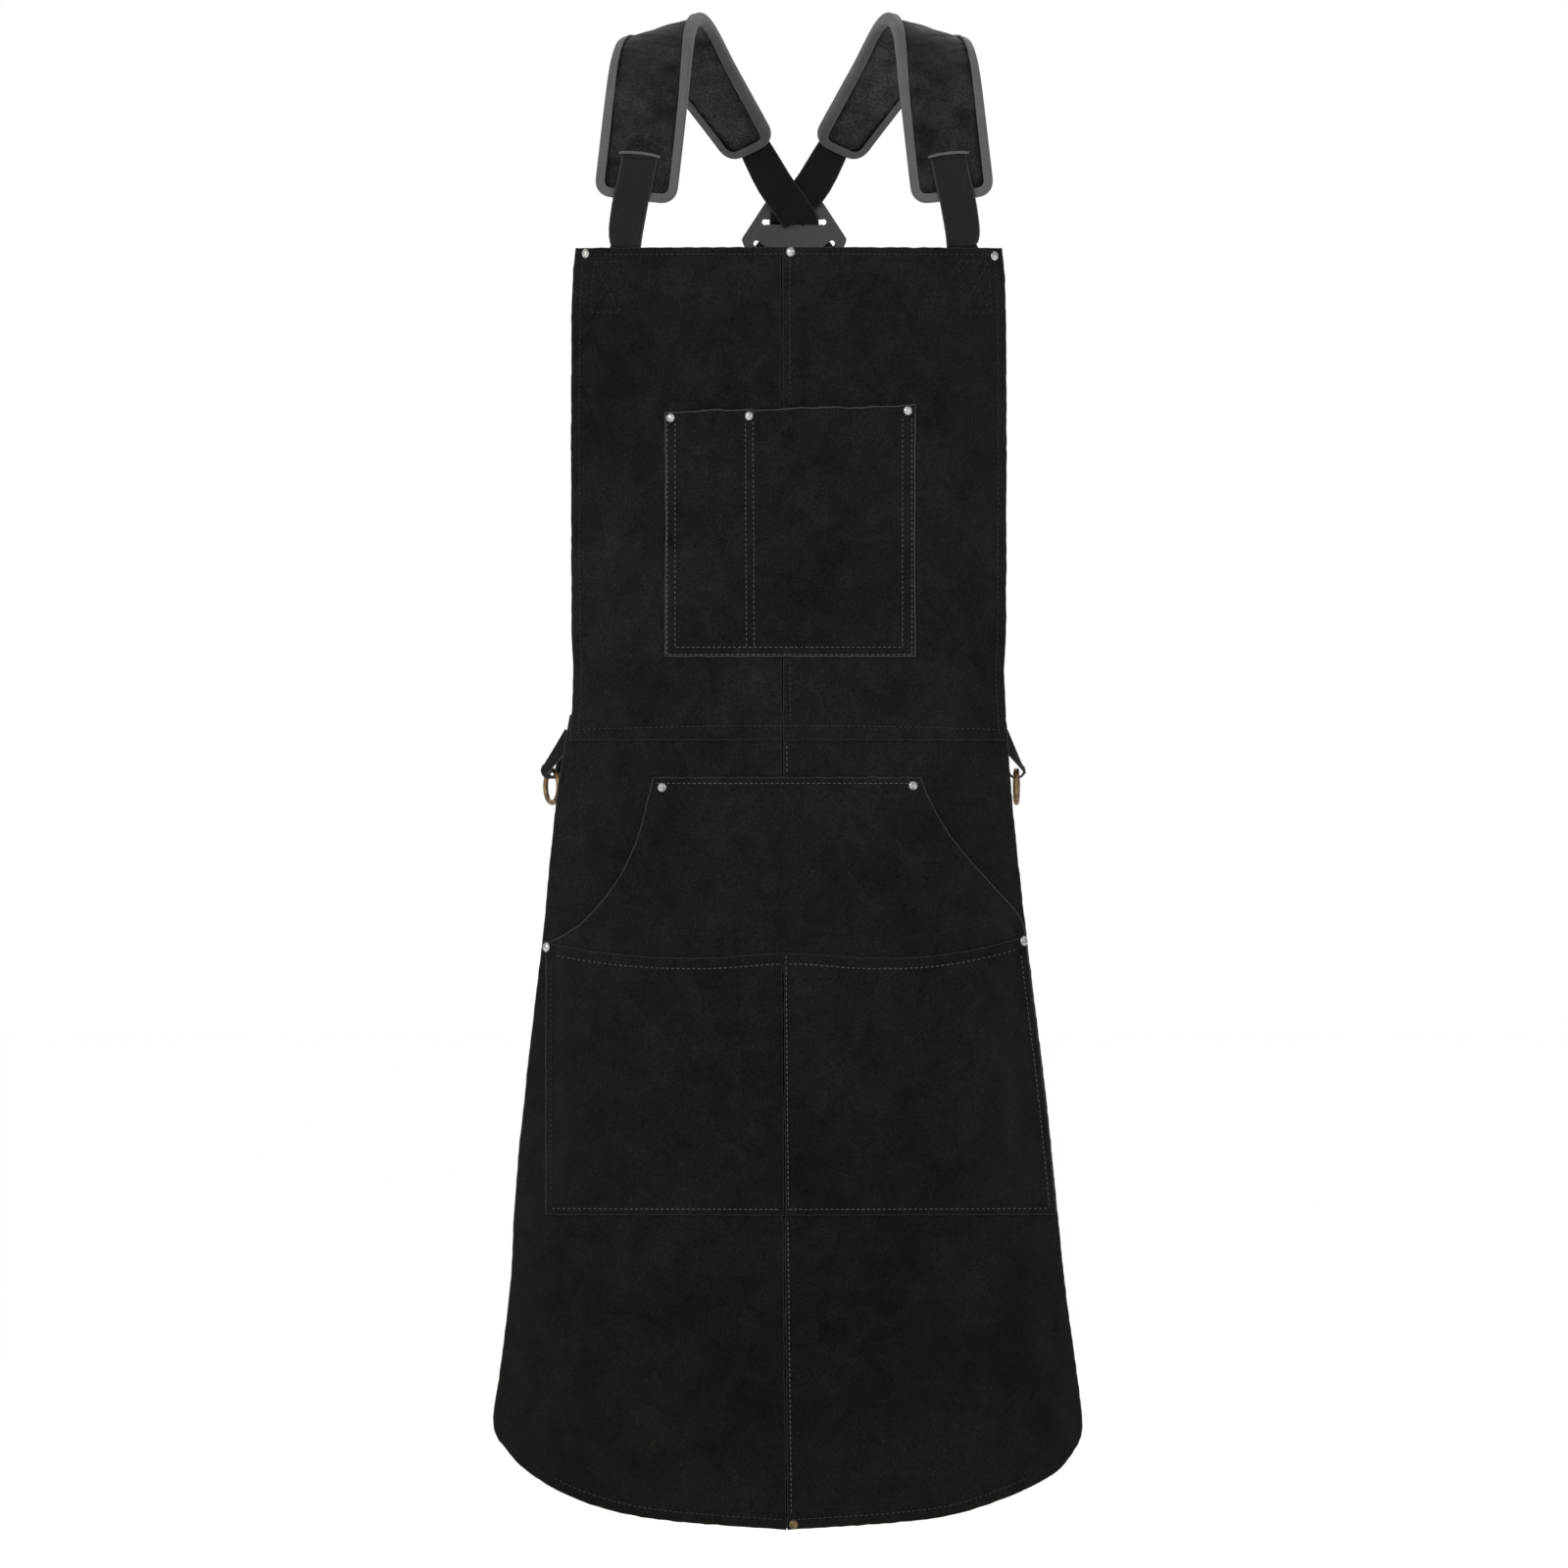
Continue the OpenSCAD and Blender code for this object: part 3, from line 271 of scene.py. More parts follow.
# ---------- meshes ----------
def new_object(name, verts, faces, materials, face_slots=None, uvs=None):
    """A smooth-shaded object made of verts in mm."""
    mesh = bpy.data.meshes.new(name)
    mesh.from_pydata([tuple(map(float, v)) for v in np.asarray(verts, float) * MM], [], faces)
    for finish in materials:
        mesh.materials.append(finish)
    if face_slots is not None:
        mesh.polygons.foreach_set("material_index", face_slots)
    mesh.polygons.foreach_set("use_smooth", [True] * len(faces))
    if uvs is not None:
        layer = mesh.uv_layers.new(name="run")
        loops = np.empty(len(mesh.loops), dtype=np.int32)
        mesh.loops.foreach_get("vertex_index", loops)
        layer.data.foreach_set("uv", np.asarray(uvs, float)[loops].ravel())
    made = bpy.data.objects.new(name, mesh)
    bpy.context.scene.collection.objects.link(made)
    work = bmesh.new()
    work.from_mesh(mesh)
    bmesh.ops.recalc_face_normals(work, faces=work.faces)
    work.to_mesh(mesh)
    work.free()
    mesh.update()
    return made


def grid_faces(nv, nu, start):
    corners = [start + j * nu + i for j in range(nv - 1) for i in range(nu - 1)]
    return [(a, a + 1, a + nu + 1, a + nu) for a in corners]


def rim_loop(nv, nu):
    """Indices round a grid's edge, in order."""
    return (list(range(nu)) + [j * nu + nu - 1 for j in range(1, nv)]
            + [(nv - 1) * nu + i for i in range(nu - 2, -1, -1)] + [j * nu for j in range(nv - 2, 0, -1)])


def tube_faces(rows, around, start=0, looped=False):
    """Faces over rings of points: looped back to the first ring, or capped at both ends."""
    faces = []
    for j in range(rows if looped else rows - 1):
        a, b = start + j * around, start + (j + 1) % rows * around
        faces += [(a + k, a + (k + 1) % around, b + (k + 1) % around, b + k) for k in range(around)]
    if not looped:
        last = start + (rows - 1) * around
        faces += [tuple(range(start + around - 1, start - 1, -1)), tuple(range(last, last + around))]
    return faces


# A raw edge's rounding, as (how far in, share of the thickness) from the outer face to the inner.
RIM_STEPS = [(0.75, 1.0), (0.2, 0.82), (0.0, 0.5), (0.15, 0.12), (0.6, 0.0)]
EDGE_IN = 0.3
RAGGED_BY = 0.22


def leather_sheet(parts, offset):
    """Verts, faces and slots of closed sheets cut to grids of [x, z], with rounded raw edges.

    offset(x, z) is the inner face's height over the cone.
    """
    def raise_to(points, share):
        x, z = points[:, 0], points[:, 1]
        return wrap_point(x, z, offset(x, z) + LEATHER_T * share)

    verts, faces, slots, count = [], [], [], 0
    for grid in parts:
        nv, nu = grid.shape[:2]
        loop = rim_loop(nv, nu)
        flat = grid.reshape(-1, 2)
        line = flat[loop]
        along = unit(np.roll(line, -1, 0) - np.roll(line, 1, 0))
        inward = np.stack([along[:, 1], -along[:, 0]], -1)
        if ((flat.mean(0) - line) * inward).sum() < 0:
            inward = -inward
        line = line + inward * (EDGE_IN + RAGGED_BY * field(RAGGED, line[:, 0], line[:, 1]))[:, None]
        rings = [(line + inward * inset, share) for inset, share in RIM_STEPS]
        for ring, share in (rings[0], rings[-1]):
            side = flat.copy()
            side[loop] = ring
            verts.append(raise_to(side, share))
        verts += [raise_to(ring, share) for ring, share in rings[1:-1]]
        n, m = nv * nu, len(loop)
        front = grid_faces(nv, nu, count)
        faces += front + [tuple(reversed(f)) for f in grid_faces(nv, nu, count + n)]
        slots += [0] * (2 * len(front))
        circles = [[count + k for k in loop]]
        circles += [list(range(count + 2 * n + m * q, count + 2 * n + m * (q + 1))) for q in range(3)]
        circles.append([count + n + k for k in loop])
        for a, b in zip(circles, circles[1:]):
            faces += [(a[k], a[(k + 1) % m], b[(k + 1) % m], b[k]) for k in range(m)]
            slots += [1] * m
        count += 2 * n + 3 * m
    return np.concatenate(verts), faces, slots


def flat_size(parts):
    """Bounding size and area in metres of sheets of [x, z] laid flat off the cone."""
    area, low, high = 0.0, [], []
    for grid in parts:
        r = wrap_radius(grid[..., 1])
        arc = r * np.arcsin(grid[..., 0] / r)
        run = grid[..., 1] * math.sqrt(1 + FLARE ** 2)
        p = np.stack([arc, run], -1)
        d1, d2 = p[1:, 1:] - p[:-1, :-1], p[1:, :-1] - p[:-1, 1:]
        area += float(np.abs(d1[..., 0] * d2[..., 1] - d1[..., 1] * d2[..., 0]).sum() / 2)
        low.append(p.min((0, 1)))
        high.append(p.max((0, 1)))
    size = (np.max(high, 0) - np.min(low, 0)) * MM
    return (round(float(size[0]), 3), round(float(size[1]), 3)), round(area * MM * MM, 4)


def panel(name, node, grid, offset, rim, lap=None):
    """A leather piece in the place of a CAD node, with its lap strip one layer further in."""
    verts, faces, slots = leather_sheet([grid], offset)
    flat, area = flat_size([grid])
    if lap is not None:
        more, more_faces, more_slots = leather_sheet([lap], lambda x, z: offset(x, z) - PITCH)
        faces += [tuple(k + len(verts) for k in f) for f in more_faces]
        verts, slots = np.concatenate([verts, more]), slots + more_slots
        flat, area = (flat[0] + LAP_W * MM, flat[1]), area + flat_size([lap])[1]
    made = new_object(name, verts, faces, [LEATHER, rim], slots)
    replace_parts(made, node)
    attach(made, ROOT)


STITCH_SIDES = 6
STITCH_PITCH, STITCH_LENGTH, STITCH_R = 4.3, 3.1, 0.42
# A stitch's rings, as (share of its length, share of its radius, lift).
STITCH = [(-0.5, 0.45, -0.45), (-0.36, 0.92, 0.02), (0, 1.0, 0.2), (0.36, 0.92, 0.02), (0.5, 0.45, -0.45)]


def add_stitch(verts, faces, at, along, across, out, rings):
    """One stitch of rings of (distance along, half width, half height, lift)."""
    start = len(verts)
    for run, wide, tall, lift in rings:
        for q in range(STITCH_SIDES):
            turn = math.tau * q / STITCH_SIDES
            verts.append(at + along * run + out * (lift + tall * math.sin(turn))
                         + across * wide * math.cos(turn))
    faces += tube_faces(len(rings), STITCH_SIDES, start)


def thread(name, lines, finish, radius=STITCH_R):
    """Sewn stitches along lines of ([x, z] points, offset(x, z) of the inner face under them)."""
    rng = random.Random(name)
    verts, faces = [], []
    for line, offset in lines:
        n = max(1, int(walk(np.asarray(line, float))[-1] / STITCH_PITCH))

        def on_face(shift):
            p = resample(line, (np.arange(n) + shift) / n)
            return wrap_point(p[:, 0], p[:, 1], offset(p[:, 0], p[:, 1]) + LEATHER_T + 0.1)

        centre = on_face(0.5)
        along = unit(on_face(0.62) - on_face(0.38))
        out = np.stack([centre[:, 0], centre[:, 1] - WRAP_Y, 0 * centre[:, 0]], -1)
        out = unit(out - (out * along).sum(1)[:, None] * along)
        across = np.cross(out, along)
        for k in range(n):
            tilt = rng.uniform(-0.1, 0.1)
            size = rng.uniform(0.9, 1.08)
            rings = [(s * STITCH_LENGTH * size, radius * fat, 0.8 * radius * fat, lift)
                     for s, fat, lift in STITCH]
            add_stitch(verts, faces, centre[k], along[k] + tilt * across[k], across[k], out[k], rings)
    made = new_object(name, verts, faces, [finish])
    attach(made, ROOT)


# ---------- materials ----------
def grey(v):
    return (v, v, v)


class Finish:
    """A Principled material as it is built. Constants are set on the shader's own sockets."""

    def __init__(self, name, roughness, metallic=0.0, sheen=0.0, sheen_tint=(1, 1, 1), specular=0.5):
        self.made = bpy.data.materials.new(name)
        self.made.use_nodes = True
        self.tree = self.made.node_tree
        self.inputs = self.tree.nodes["Principled BSDF"].inputs
        for key, value in (("Roughness", roughness), ("Metallic", metallic), ("Sheen Weight", sheen),
                           ("Sheen Roughness", 0.45), ("Sheen Tint", sheen_tint),
                           ("Specular IOR Level", specular)):
            self.feed(self.inputs[key], value)

    def feed(self, socket, value):
        """Link a socket into another, or set it to a number or colour."""
        if isinstance(value, bpy.types.NodeSocket):
            self.tree.links.new(value, socket)
        else:
            socket.default_value = (*value, 1) if isinstance(value, tuple) else value

    def node(self, kind, **values):
        made = self.tree.nodes.new(kind)
        for key, value in values.items():
            if key in made.inputs.keys():
                self.feed(made.inputs[key], value)
            else:
                setattr(made, key, value)
        return made

    def coords(self, kind="Object", scale=(1, 1, 1)):
        mapping = self.node("ShaderNodeMapping", Vector=self.node("ShaderNodeTexCoord").outputs[kind])
        mapping.inputs["Scale"].default_value = scale
        return mapping.outputs["Vector"]

    def noise(self, vector, scale, detail=4.0, roughness=0.55, distortion=0.0):
        return self.node("ShaderNodeTexNoise", Vector=vector, Scale=scale, Detail=detail,
                         Roughness=roughness, Distortion=distortion).outputs["Fac"]

    def ramp(self, value, stops):
        made = self.node("ShaderNodeValToRGB", Fac=value)
        for element, (place, colour) in zip(made.color_ramp.elements, stops):
            element.position = place
            element.color = (*colour, 1)
        return made.outputs["Color"]

    def blend(self, share, a, b, mode="MIX"):
        made = self.node("ShaderNodeMix", data_type="RGBA", blend_type=mode, Factor=share)
        for socket, value in zip([s for s in made.inputs if s.type == "RGBA"], (a, b)):
            self.feed(socket, value)
        return [s for s in made.outputs if s.type == "RGBA"][0]

    def math(self, operation, *values, clamp=False):
        made = self.node("ShaderNodeMath", operation=operation, use_clamp=clamp)
        for socket, value in zip(made.inputs, values):
            self.feed(socket, value)
        return made.outputs["Value"]

    def remap(self, value, to_low=0.0, to_high=1.0, from_low=0.0, from_high=1.0):
        made = self.node("ShaderNodeMapRange", Value=value)
        for key, number in (("From Min", from_low), ("From Max", from_high),
                            ("To Min", to_low), ("To Max", to_high)):
            made.inputs[key].default_value = number
        return made.outputs["Result"]

    def bump(self, height, strength, distance, before=None):
        made = self.node("ShaderNodeBump", Strength=strength, Distance=distance, Height=height)
        if before is not None:
            self.feed(made.inputs["Normal"], before)
        self.feed(self.inputs["Normal"], made.outputs["Normal"])
        return made.outputs["Normal"]

    def split(self, vector):
        return self.node("ShaderNodeSeparateXYZ", Vector=vector).outputs

    def waves(self, value, length):
        """A sine of the value, one wave to each length."""
        return self.math("SINE", self.math("MULTIPLY", value, math.tau / length))

    def paint(self, tone, speck):
        self.feed(self.inputs["Base Color"], self.blend(1.0, tone, speck, "MULTIPLY"))


def suede_leather():
    """Black split leather: a short nap in two tones, cloudy patches, and a browner cast low down."""
    f = Finish("split_leather", 0.86, sheen=0.035, sheen_tint=(0.55, 0.54, 0.52), specular=0.04)
    place = f.coords()
    cloud = f.noise(place, 7, 5, 0.6, 0.6)
    patch = f.noise(place, 38, 5, 0.62, 0.8)
    nap = f.noise(place, 520, 3, 0.7)
    fibre = f.noise(f.coords(scale=(1.0, 1.0, 0.35)), 1400, 2, 0.6)
    low = f.math("MULTIPLY_ADD", f.split(place)["Z"], -1.6, -0.85, clamp=True)
    dark = f.blend(low, (0.0026, 0.0027, 0.0027), (0.0019, 0.0019, 0.0013))
    light = f.blend(low, (0.0086, 0.0088, 0.0088), (0.0063, 0.0062, 0.0047))
    tone = f.math("ADD", f.math("MULTIPLY", cloud, 0.45), f.math("MULTIPLY", patch, 0.55))
    base = f.blend(f.remap(tone, from_low=0.36, from_high=0.66), dark, light)
    f.paint(base, f.ramp(nap, [(0.35, grey(0.62)), (0.62, (1.35, 1.33, 1.3))]))
    f.feed(f.inputs["Roughness"], f.remap(patch, 0.74, 0.97))
    coarse = f.bump(patch, 0.35, 0.0012)
    f.bump(fibre, 0.25, 0.0002, f.bump(nap, 0.4, 0.0005, coarse))
    return f.made


def raw_edge(name, dark, light):
    """The cut edge of the leather, in loose fibres."""
    f = Finish(name, 0.9, sheen=0.05, specular=0.08)
    place = f.coords()
    fibre = f.noise(place, 900, 4, 0.7)
    tone = f.blend(f.noise(place, 60, 3), dark, light)
    f.paint(tone, f.ramp(fibre, [(0.3, grey(0.5)), (0.7, (1.4, 1.38, 1.34))]))
    f.bump(fibre, 0.5, 0.0004)
    return f.made


def thread_material(name, dark, light):
    f = Finish(name, 0.7, sheen=0.06, specular=0.12)
    place = f.coords()
    f.feed(f.inputs["Base Color"], f.blend(f.noise(place, 26, 3), dark, light))
    f.bump(f.noise(place, 1600, 2, 0.6), 0.5, 0.0002)
    return f.made


def webbing_material():
    """Woven polyester: fine ribs across the run, yarns along it, paler selvedges. UVs are in mm."""
    f = Finish("woven_webbing", 0.7, sheen=0.06, sheen_tint=(0.6, 0.6, 0.62), specular=0.12)
    run = f.split(f.coords("UV"))
    weave = f.math("MULTIPLY", f.waves(run["X"], 1.5), f.waves(run["Y"], 0.95))
    ribs = f.math("ADD", f.math("MULTIPLY", weave, 0.3), 0.5)
    rim = f.math("GREATER_THAN", f.math("ABSOLUTE", run["Y"]), WEB_W / 2 - 1.3)
    yarn = f.ramp(ribs, [(0.2, grey(0.0026)), (0.8, grey(0.0076))])
    worn = f.blend(f.math("MULTIPLY", rim, 0.8), yarn, (0.023, 0.023, 0.024))
    f.paint(worn, f.ramp(f.noise(f.coords(), 420, 3, 0.65), [(0.3, grey(0.7)), (0.7, grey(1.3))]))
    f.bump(ribs, 0.6, 0.0004)
    return f.made


def grosgrain_material():
    """Grey binding tape with fine ribs across it."""
    f = Finish("grosgrain_binding", 0.72, sheen=0.08, specular=0.15)
    rib = f.math("MULTIPLY_ADD", f.waves(f.split(f.coords("UV"))["X"], 0.9), 0.5, 0.5)
    soil = f.noise(f.coords(), 45, 4, 0.6)
    tone = f.blend(soil, (0.050, 0.050, 0.052), (0.092, 0.092, 0.094))
    f.paint(tone, f.ramp(rib, [(0.0, grey(0.62)), (0.6, grey(1.08))]))
    f.bump(rib, 0.5, 0.0004)
    return f.made


def pad_material(name, dark, light, grain):
    """Brushed cloth with a short, mottled pile."""
    f = Finish(name, 0.92, sheen=0.12, sheen_tint=(0.7, 0.7, 0.7), specular=0.08)
    place = f.coords()
    pile = f.noise(place, grain, 4, 0.75)
    tone = f.ramp(f.noise(place, 48, 4, 0.6), [(0.34, dark), (0.66, light)])
    f.paint(tone, f.ramp(pile, [(0.36, grey(0.4)), (0.64, grey(1.7))]))
    f.bump(pile, 0.6, 0.0006)
    return f.made


def plastic_material():
    f = Finish("moulded_plastic", 0.45, specular=0.5)
    place = f.coords()
    flow = f.noise(place, 60, 4, 0.6)
    f.feed(f.inputs["Base Color"], f.blend(flow, (0.030, 0.0315, 0.0315), (0.048, 0.050, 0.0495)))
    f.feed(f.inputs["Roughness"], f.remap(flow, 0.34, 0.58))
    f.bump(f.noise(place, 1300, 2), 0.2, 0.0002)
    return f.made


def metal_material(name, dark, light, smooth, dull):
    """Plated metal with tarnish in patches and fine brushed scratches."""
    f = Finish(name, smooth, metallic=1.0)
    tarnish = f.noise(f.coords(), 170, 5, 0.65, 0.5)
    scratch = f.noise(f.coords(scale=(1, 1, 7)), 900, 3, 0.6)
    f.feed(f.inputs["Base Color"], f.ramp(tarnish, [(0.34, dark), (0.62, light)]))
    f.feed(f.inputs["Roughness"], f.remap(tarnish, dull, smooth))
    f.bump(scratch, 0.15, 0.0002)
    return f.made


LEATHER = suede_leather()
RAW_EDGE = raw_edge("raw_leather_edge", (0.016, 0.016, 0.0152), (0.070, 0.068, 0.064))
WORN_EDGE = raw_edge("worn_leather_edge", (0.009, 0.009, 0.0086), (0.034, 0.0335, 0.032))
DARK_EDGE = raw_edge("dark_leather_edge", (0.006, 0.006, 0.0058), (0.017, 0.0168, 0.016))
GREY_THREAD = thread_material("grey_thread", (0.024, 0.024, 0.0235), (0.062, 0.061, 0.058))
DARK_THREAD = thread_material("dark_thread", (0.009, 0.009, 0.0088), (0.023, 0.0228, 0.022))
BINDING_THREAD = thread_material("binding_thread", (0.07, 0.07, 0.072), (0.12, 0.12, 0.122))
WEBBING = webbing_material()
BINDING = grosgrain_material()
PAD_FACE = pad_material("brushed_pad_cover", grey(0.0035), grey(0.014), 700)
PAD_LINING = pad_material("mottled_pad_lining", (0.014, 0.014, 0.015), (0.030, 0.030, 0.031), 520)
PLASTIC = plastic_material()
RIVET_METAL = metal_material("nickel_rivet", (0.15, 0.145, 0.14), (0.46, 0.45, 0.43), 0.3, 0.46)
BRASS = metal_material("antique_brass", (0.045, 0.031, 0.016), (0.19, 0.133, 0.066), 0.34, 0.54)
HOOK_METAL = metal_material("hook_steel", grey(0.22), grey(0.55), 0.22, 0.42)

# ---------- camera: set back far enough that the view is nearly parallel, as in a catalogue shot ----------
VIEW_W = 1305.0
VIEW_CENTRE = (-4.0, -100.0, -633.0)
VIEW_BACK = 40000.0
camera_data = bpy.data.cameras.new("camera")
camera_data.sensor_width = 36
camera_data.lens = 36 * VIEW_BACK / VIEW_W
camera_data.clip_end = 150
camera = bpy.data.objects.new("camera", camera_data)
camera.location = (VIEW_CENTRE[0] * MM, (VIEW_CENTRE[1] - VIEW_BACK) * MM, VIEW_CENTRE[2] * MM)
camera.rotation_euler = (math.pi / 2, 0, 0)
bpy.context.scene.collection.objects.link(camera)
bpy.context.scene.camera = camera

# ---------- leather panels ----------
SEAM_GAP = (0.4, 0)
LAP_OUT = 4.5
SKIRT_LAP_REACH, SKIRT_LAP_UP = 10, 8
bib_right_edge = smooth_line(BIB_EDGE)
bib_left_edge = bib_right_edge * (-1, 1)


def lap_strip(seam, high, low, reach):
    line = clip_line(seam, high, low)
    return between(line - (LAP_OUT, 0), line + (reach, 0), 5)


def skirt_grid(side, hem, seam, inner_left):
    """Skirt panel from its side line and hem to the centre seam."""
    side, hem = smooth_line(side), smooth_line(hem)
    seam = clip_line(seam, SKIRT_TOP, HEM + 0.01)
    if inner_left:
        return coons([seam[0], side[0]], hem[::-1], seam, side, 4.5)
    return coons([side[0], seam[0]], hem, side, seam, 4.5)


panel("bib_left_leather", "bib_left", between(bib_left_edge, BIB_SEAM - SEAM_GAP), bib_off,
      DARK_EDGE,
      lap_strip(BIB_SEAM, BIB_TOP, SKIRT_TOP + 2, LAP_W))
panel("bib_right_leather", "bib_right", between(BIB_SEAM, bib_right_edge), bib_off,
      DARK_EDGE)
panel("skirt_left_leather", "skirt_left",
      skirt_grid(SKIRT_SIDE_LEFT, SKIRT_HEM_LEFT, SKIRT_SEAM - SEAM_GAP, False), skirt_off,
      DARK_EDGE,
      lap_strip(SKIRT_SEAM + (0, SKIRT_LAP_UP), SKIRT_TOP + SKIRT_LAP_UP, HEM + 1.5, SKIRT_LAP_REACH))
panel("skirt_right_leather", "skirt_right", skirt_grid(SKIRT_SIDE_RIGHT, SKIRT_HEM_RIGHT, SKIRT_SEAM, True),
      skirt_off, DARK_EDGE)

# The chest pocket's mouth is cut a little wavy.
mouth_x = np.linspace(POCKET_LEFT, POCKET_RIGHT, 50)
mouth_z = pocket_top(mouth_x) + 0.5 * np.sin(mouth_x / 13.0) + 0.4 * np.sin(mouth_x / 5.3 + 1)
chest_mouth = np.stack([mouth_x, mouth_z], -1)
chest_feet = [(POCKET_LEFT, POCKET_FOOT), (POCKET_RIGHT, POCKET_FOOT)]
chest_grid = coons(chest_mouth, chest_feet, [chest_mouth[0], (POCKET_LEFT + 0.8, -420), chest_feet[0]],
                   [chest_mouth[-1], (POCKET_RIGHT - 0.8, -430), chest_feet[1]], 3.6)
panel("chest_pocket_leather", "bib_pocket", chest_grid, pocket_off, RAW_EDGE)

mouth_left = np.concatenate([smooth_line(MOUTH_LEFT[:-1]), [MOUTH_LEFT[-1]]])
panel("hand_pocket_leather", "hand_pocket", between(mouth_left, smooth_line(MOUTH_RIGHT), 4.0), hand_off,
      WORN_EDGE)


def lap_grid(x_in_top, x_in_foot, outer):
    """A lap panel between the centre and its outer line, which outer gives as x at a height."""
    zs = np.linspace(LAP_MID, LAP_FOOT, 40)
    outer_line = np.array([(outer(z), z) for z in zs])
    top_z = float(lap_top(outer_line[0, 0]))
    outer_line[0] = (outer(top_z), top_z)
    inner_line = np.array([(x_in_top, float(lap_top(x_in_top))), (x_in_foot, LAP_FOOT)])
    xs = np.linspace(x_in_top, outer_line[0, 0], 60)
    top = np.stack([xs, lap_top(xs)], -1)
    top[-1] = outer_line[0]
    foot = np.array([inner_line[-1], outer_line[-1]])
    if outer_line[0, 0] < x_in_top:
        return coons(top[::-1], foot[::-1], outer_line, inner_line, 4.2)
    return coons(top, foot, inner_line, outer_line, 4.2)


skirt_right_side = smooth_line(SKIRT_SIDE_RIGHT)
panel("lap_left_leather", "lap_panel_left", lap_grid(-5.3, -3.3, lambda z: LAP_LEFT), lap_off,
      DARK_EDGE)
panel("lap_right_leather", "lap_panel_right",
      lap_grid(-4.8, -2.8, lambda z: float(at_z(skirt_right_side, z)) - 1), lap_off,
      DARK_EDGE)


# ---------- stitching ----------
def boxed_cross(cx, cz, w, h, lean):
    """The four sides and two diagonals of a strap's boxed stitch, leaning by lean from top to bottom."""
    a, b = (cx - w / 2 + lean, cz + h / 2), (cx + w / 2 + lean, cz + h / 2)
    c, d = (cx + w / 2 - lean, cz - h / 2), (cx - w / 2 - lean, cz - h / 2)
    return [[a, b], [b, c], [c, d], [d, a], [a, c], [b, d]]


def hem_stitch(hem, inward):
    """A line one hem's width inside the curved hem."""
    line = smooth_line(hem)
    line = resample(line[np.abs(line[:, 0]) < 205], np.linspace(0, 1, 111))
    along = unit(np.gradient(line, axis=0))
    return (line + inward * np.stack([along[:, 1], -along[:, 0]], -1) * 8.5)[:-2]


def lap_hem(x_from, x_to):
    """A line under the upper edge of a lap panel."""
    x = np.linspace(x_from, x_to, 60)
    return np.stack([x, lap_top(x) - 9.5], -1)


def sew(name, lines, offset, finish, radius=STITCH_R):
    thread(name, [(line, offset) for line in lines], finish, radius)


waist_x = np.linspace(-177, 177, 90)
sew("bib_stitching", [
    [(-172, BIB_TOP - 6), (172, BIB_TOP - 6)], clip_line(bib_left_edge, -194, -592) + (7.5, 0),
    clip_line(bib_right_edge, -194, -592) - (7.5, 0), [(0.8, -196), (0.9, -319)],
    [(1.0, -530), (1.3, -582)], np.stack([waist_x, -584.5 - 3.5 * (waist_x / 180) ** 2], -1)],
    bib_off, DARK_THREAD, 0.34)
sew("boxed_stitching", boxed_cross(-151.5, -219, 25, 42, 2.0) + boxed_cross(155.0, -219, 25, 42, -1.5),
    bib_off, DARK_THREAD, 0.28)
sew("pocket_stitching", [
    [(-101.1, -332), (-101.1, -526)], [(-94.6, -332), (-94.6, -519.5)],
    [(94.6, -328), (94.6, -519.5)], [(102.4, -328), (102.4, -526)],
    [(-36.2, -332), (-35.2, -519)], [(-29.8, -322), (-28.8, -519)],
    [(-101, -525.3), (102.4, -525.3)], [(-94.6, -519.3), (94.6, -519.3)]], pocket_off, GREY_THREAD)
sew("hand_pocket_stitching", [[(-111, HAND_TOP - 5.5), (109, HAND_TOP - 5.5)]], hand_off, GREY_THREAD)
sew("lap_stitching", [
    lap_hem(-194, -7), lap_hem(-1, 190), clip_line(skirt_right_side, -775, -985) - (7, 0),
    [(-198, LAP_FOOT + 5.5), (-8, LAP_FOOT + 5.5)], [(-1, LAP_FOOT + 5.5), (216, LAP_FOOT + 5.5)],
    [(-2.3, -775), (-0.4, -984)]], lap_off, GREY_THREAD)
sew("lap_seam_stitching", [[(-198, -780), (-198, -985)]], lap_off, DARK_THREAD)
sew("skirt_stitching", [hem_stitch(SKIRT_HEM_LEFT, -1), hem_stitch(SKIRT_HEM_RIGHT, 1)], skirt_off,
    DARK_THREAD)
sew("skirt_seam_stitching", [[(-1.8, -600), (-1.4, -624)], [(-0.8, -996), (2.2, HEM + 14)]], skirt_off,
    GREY_THREAD)


# ---------- ribbons: webbing and loops ----------
SIDES = ("left", "right")


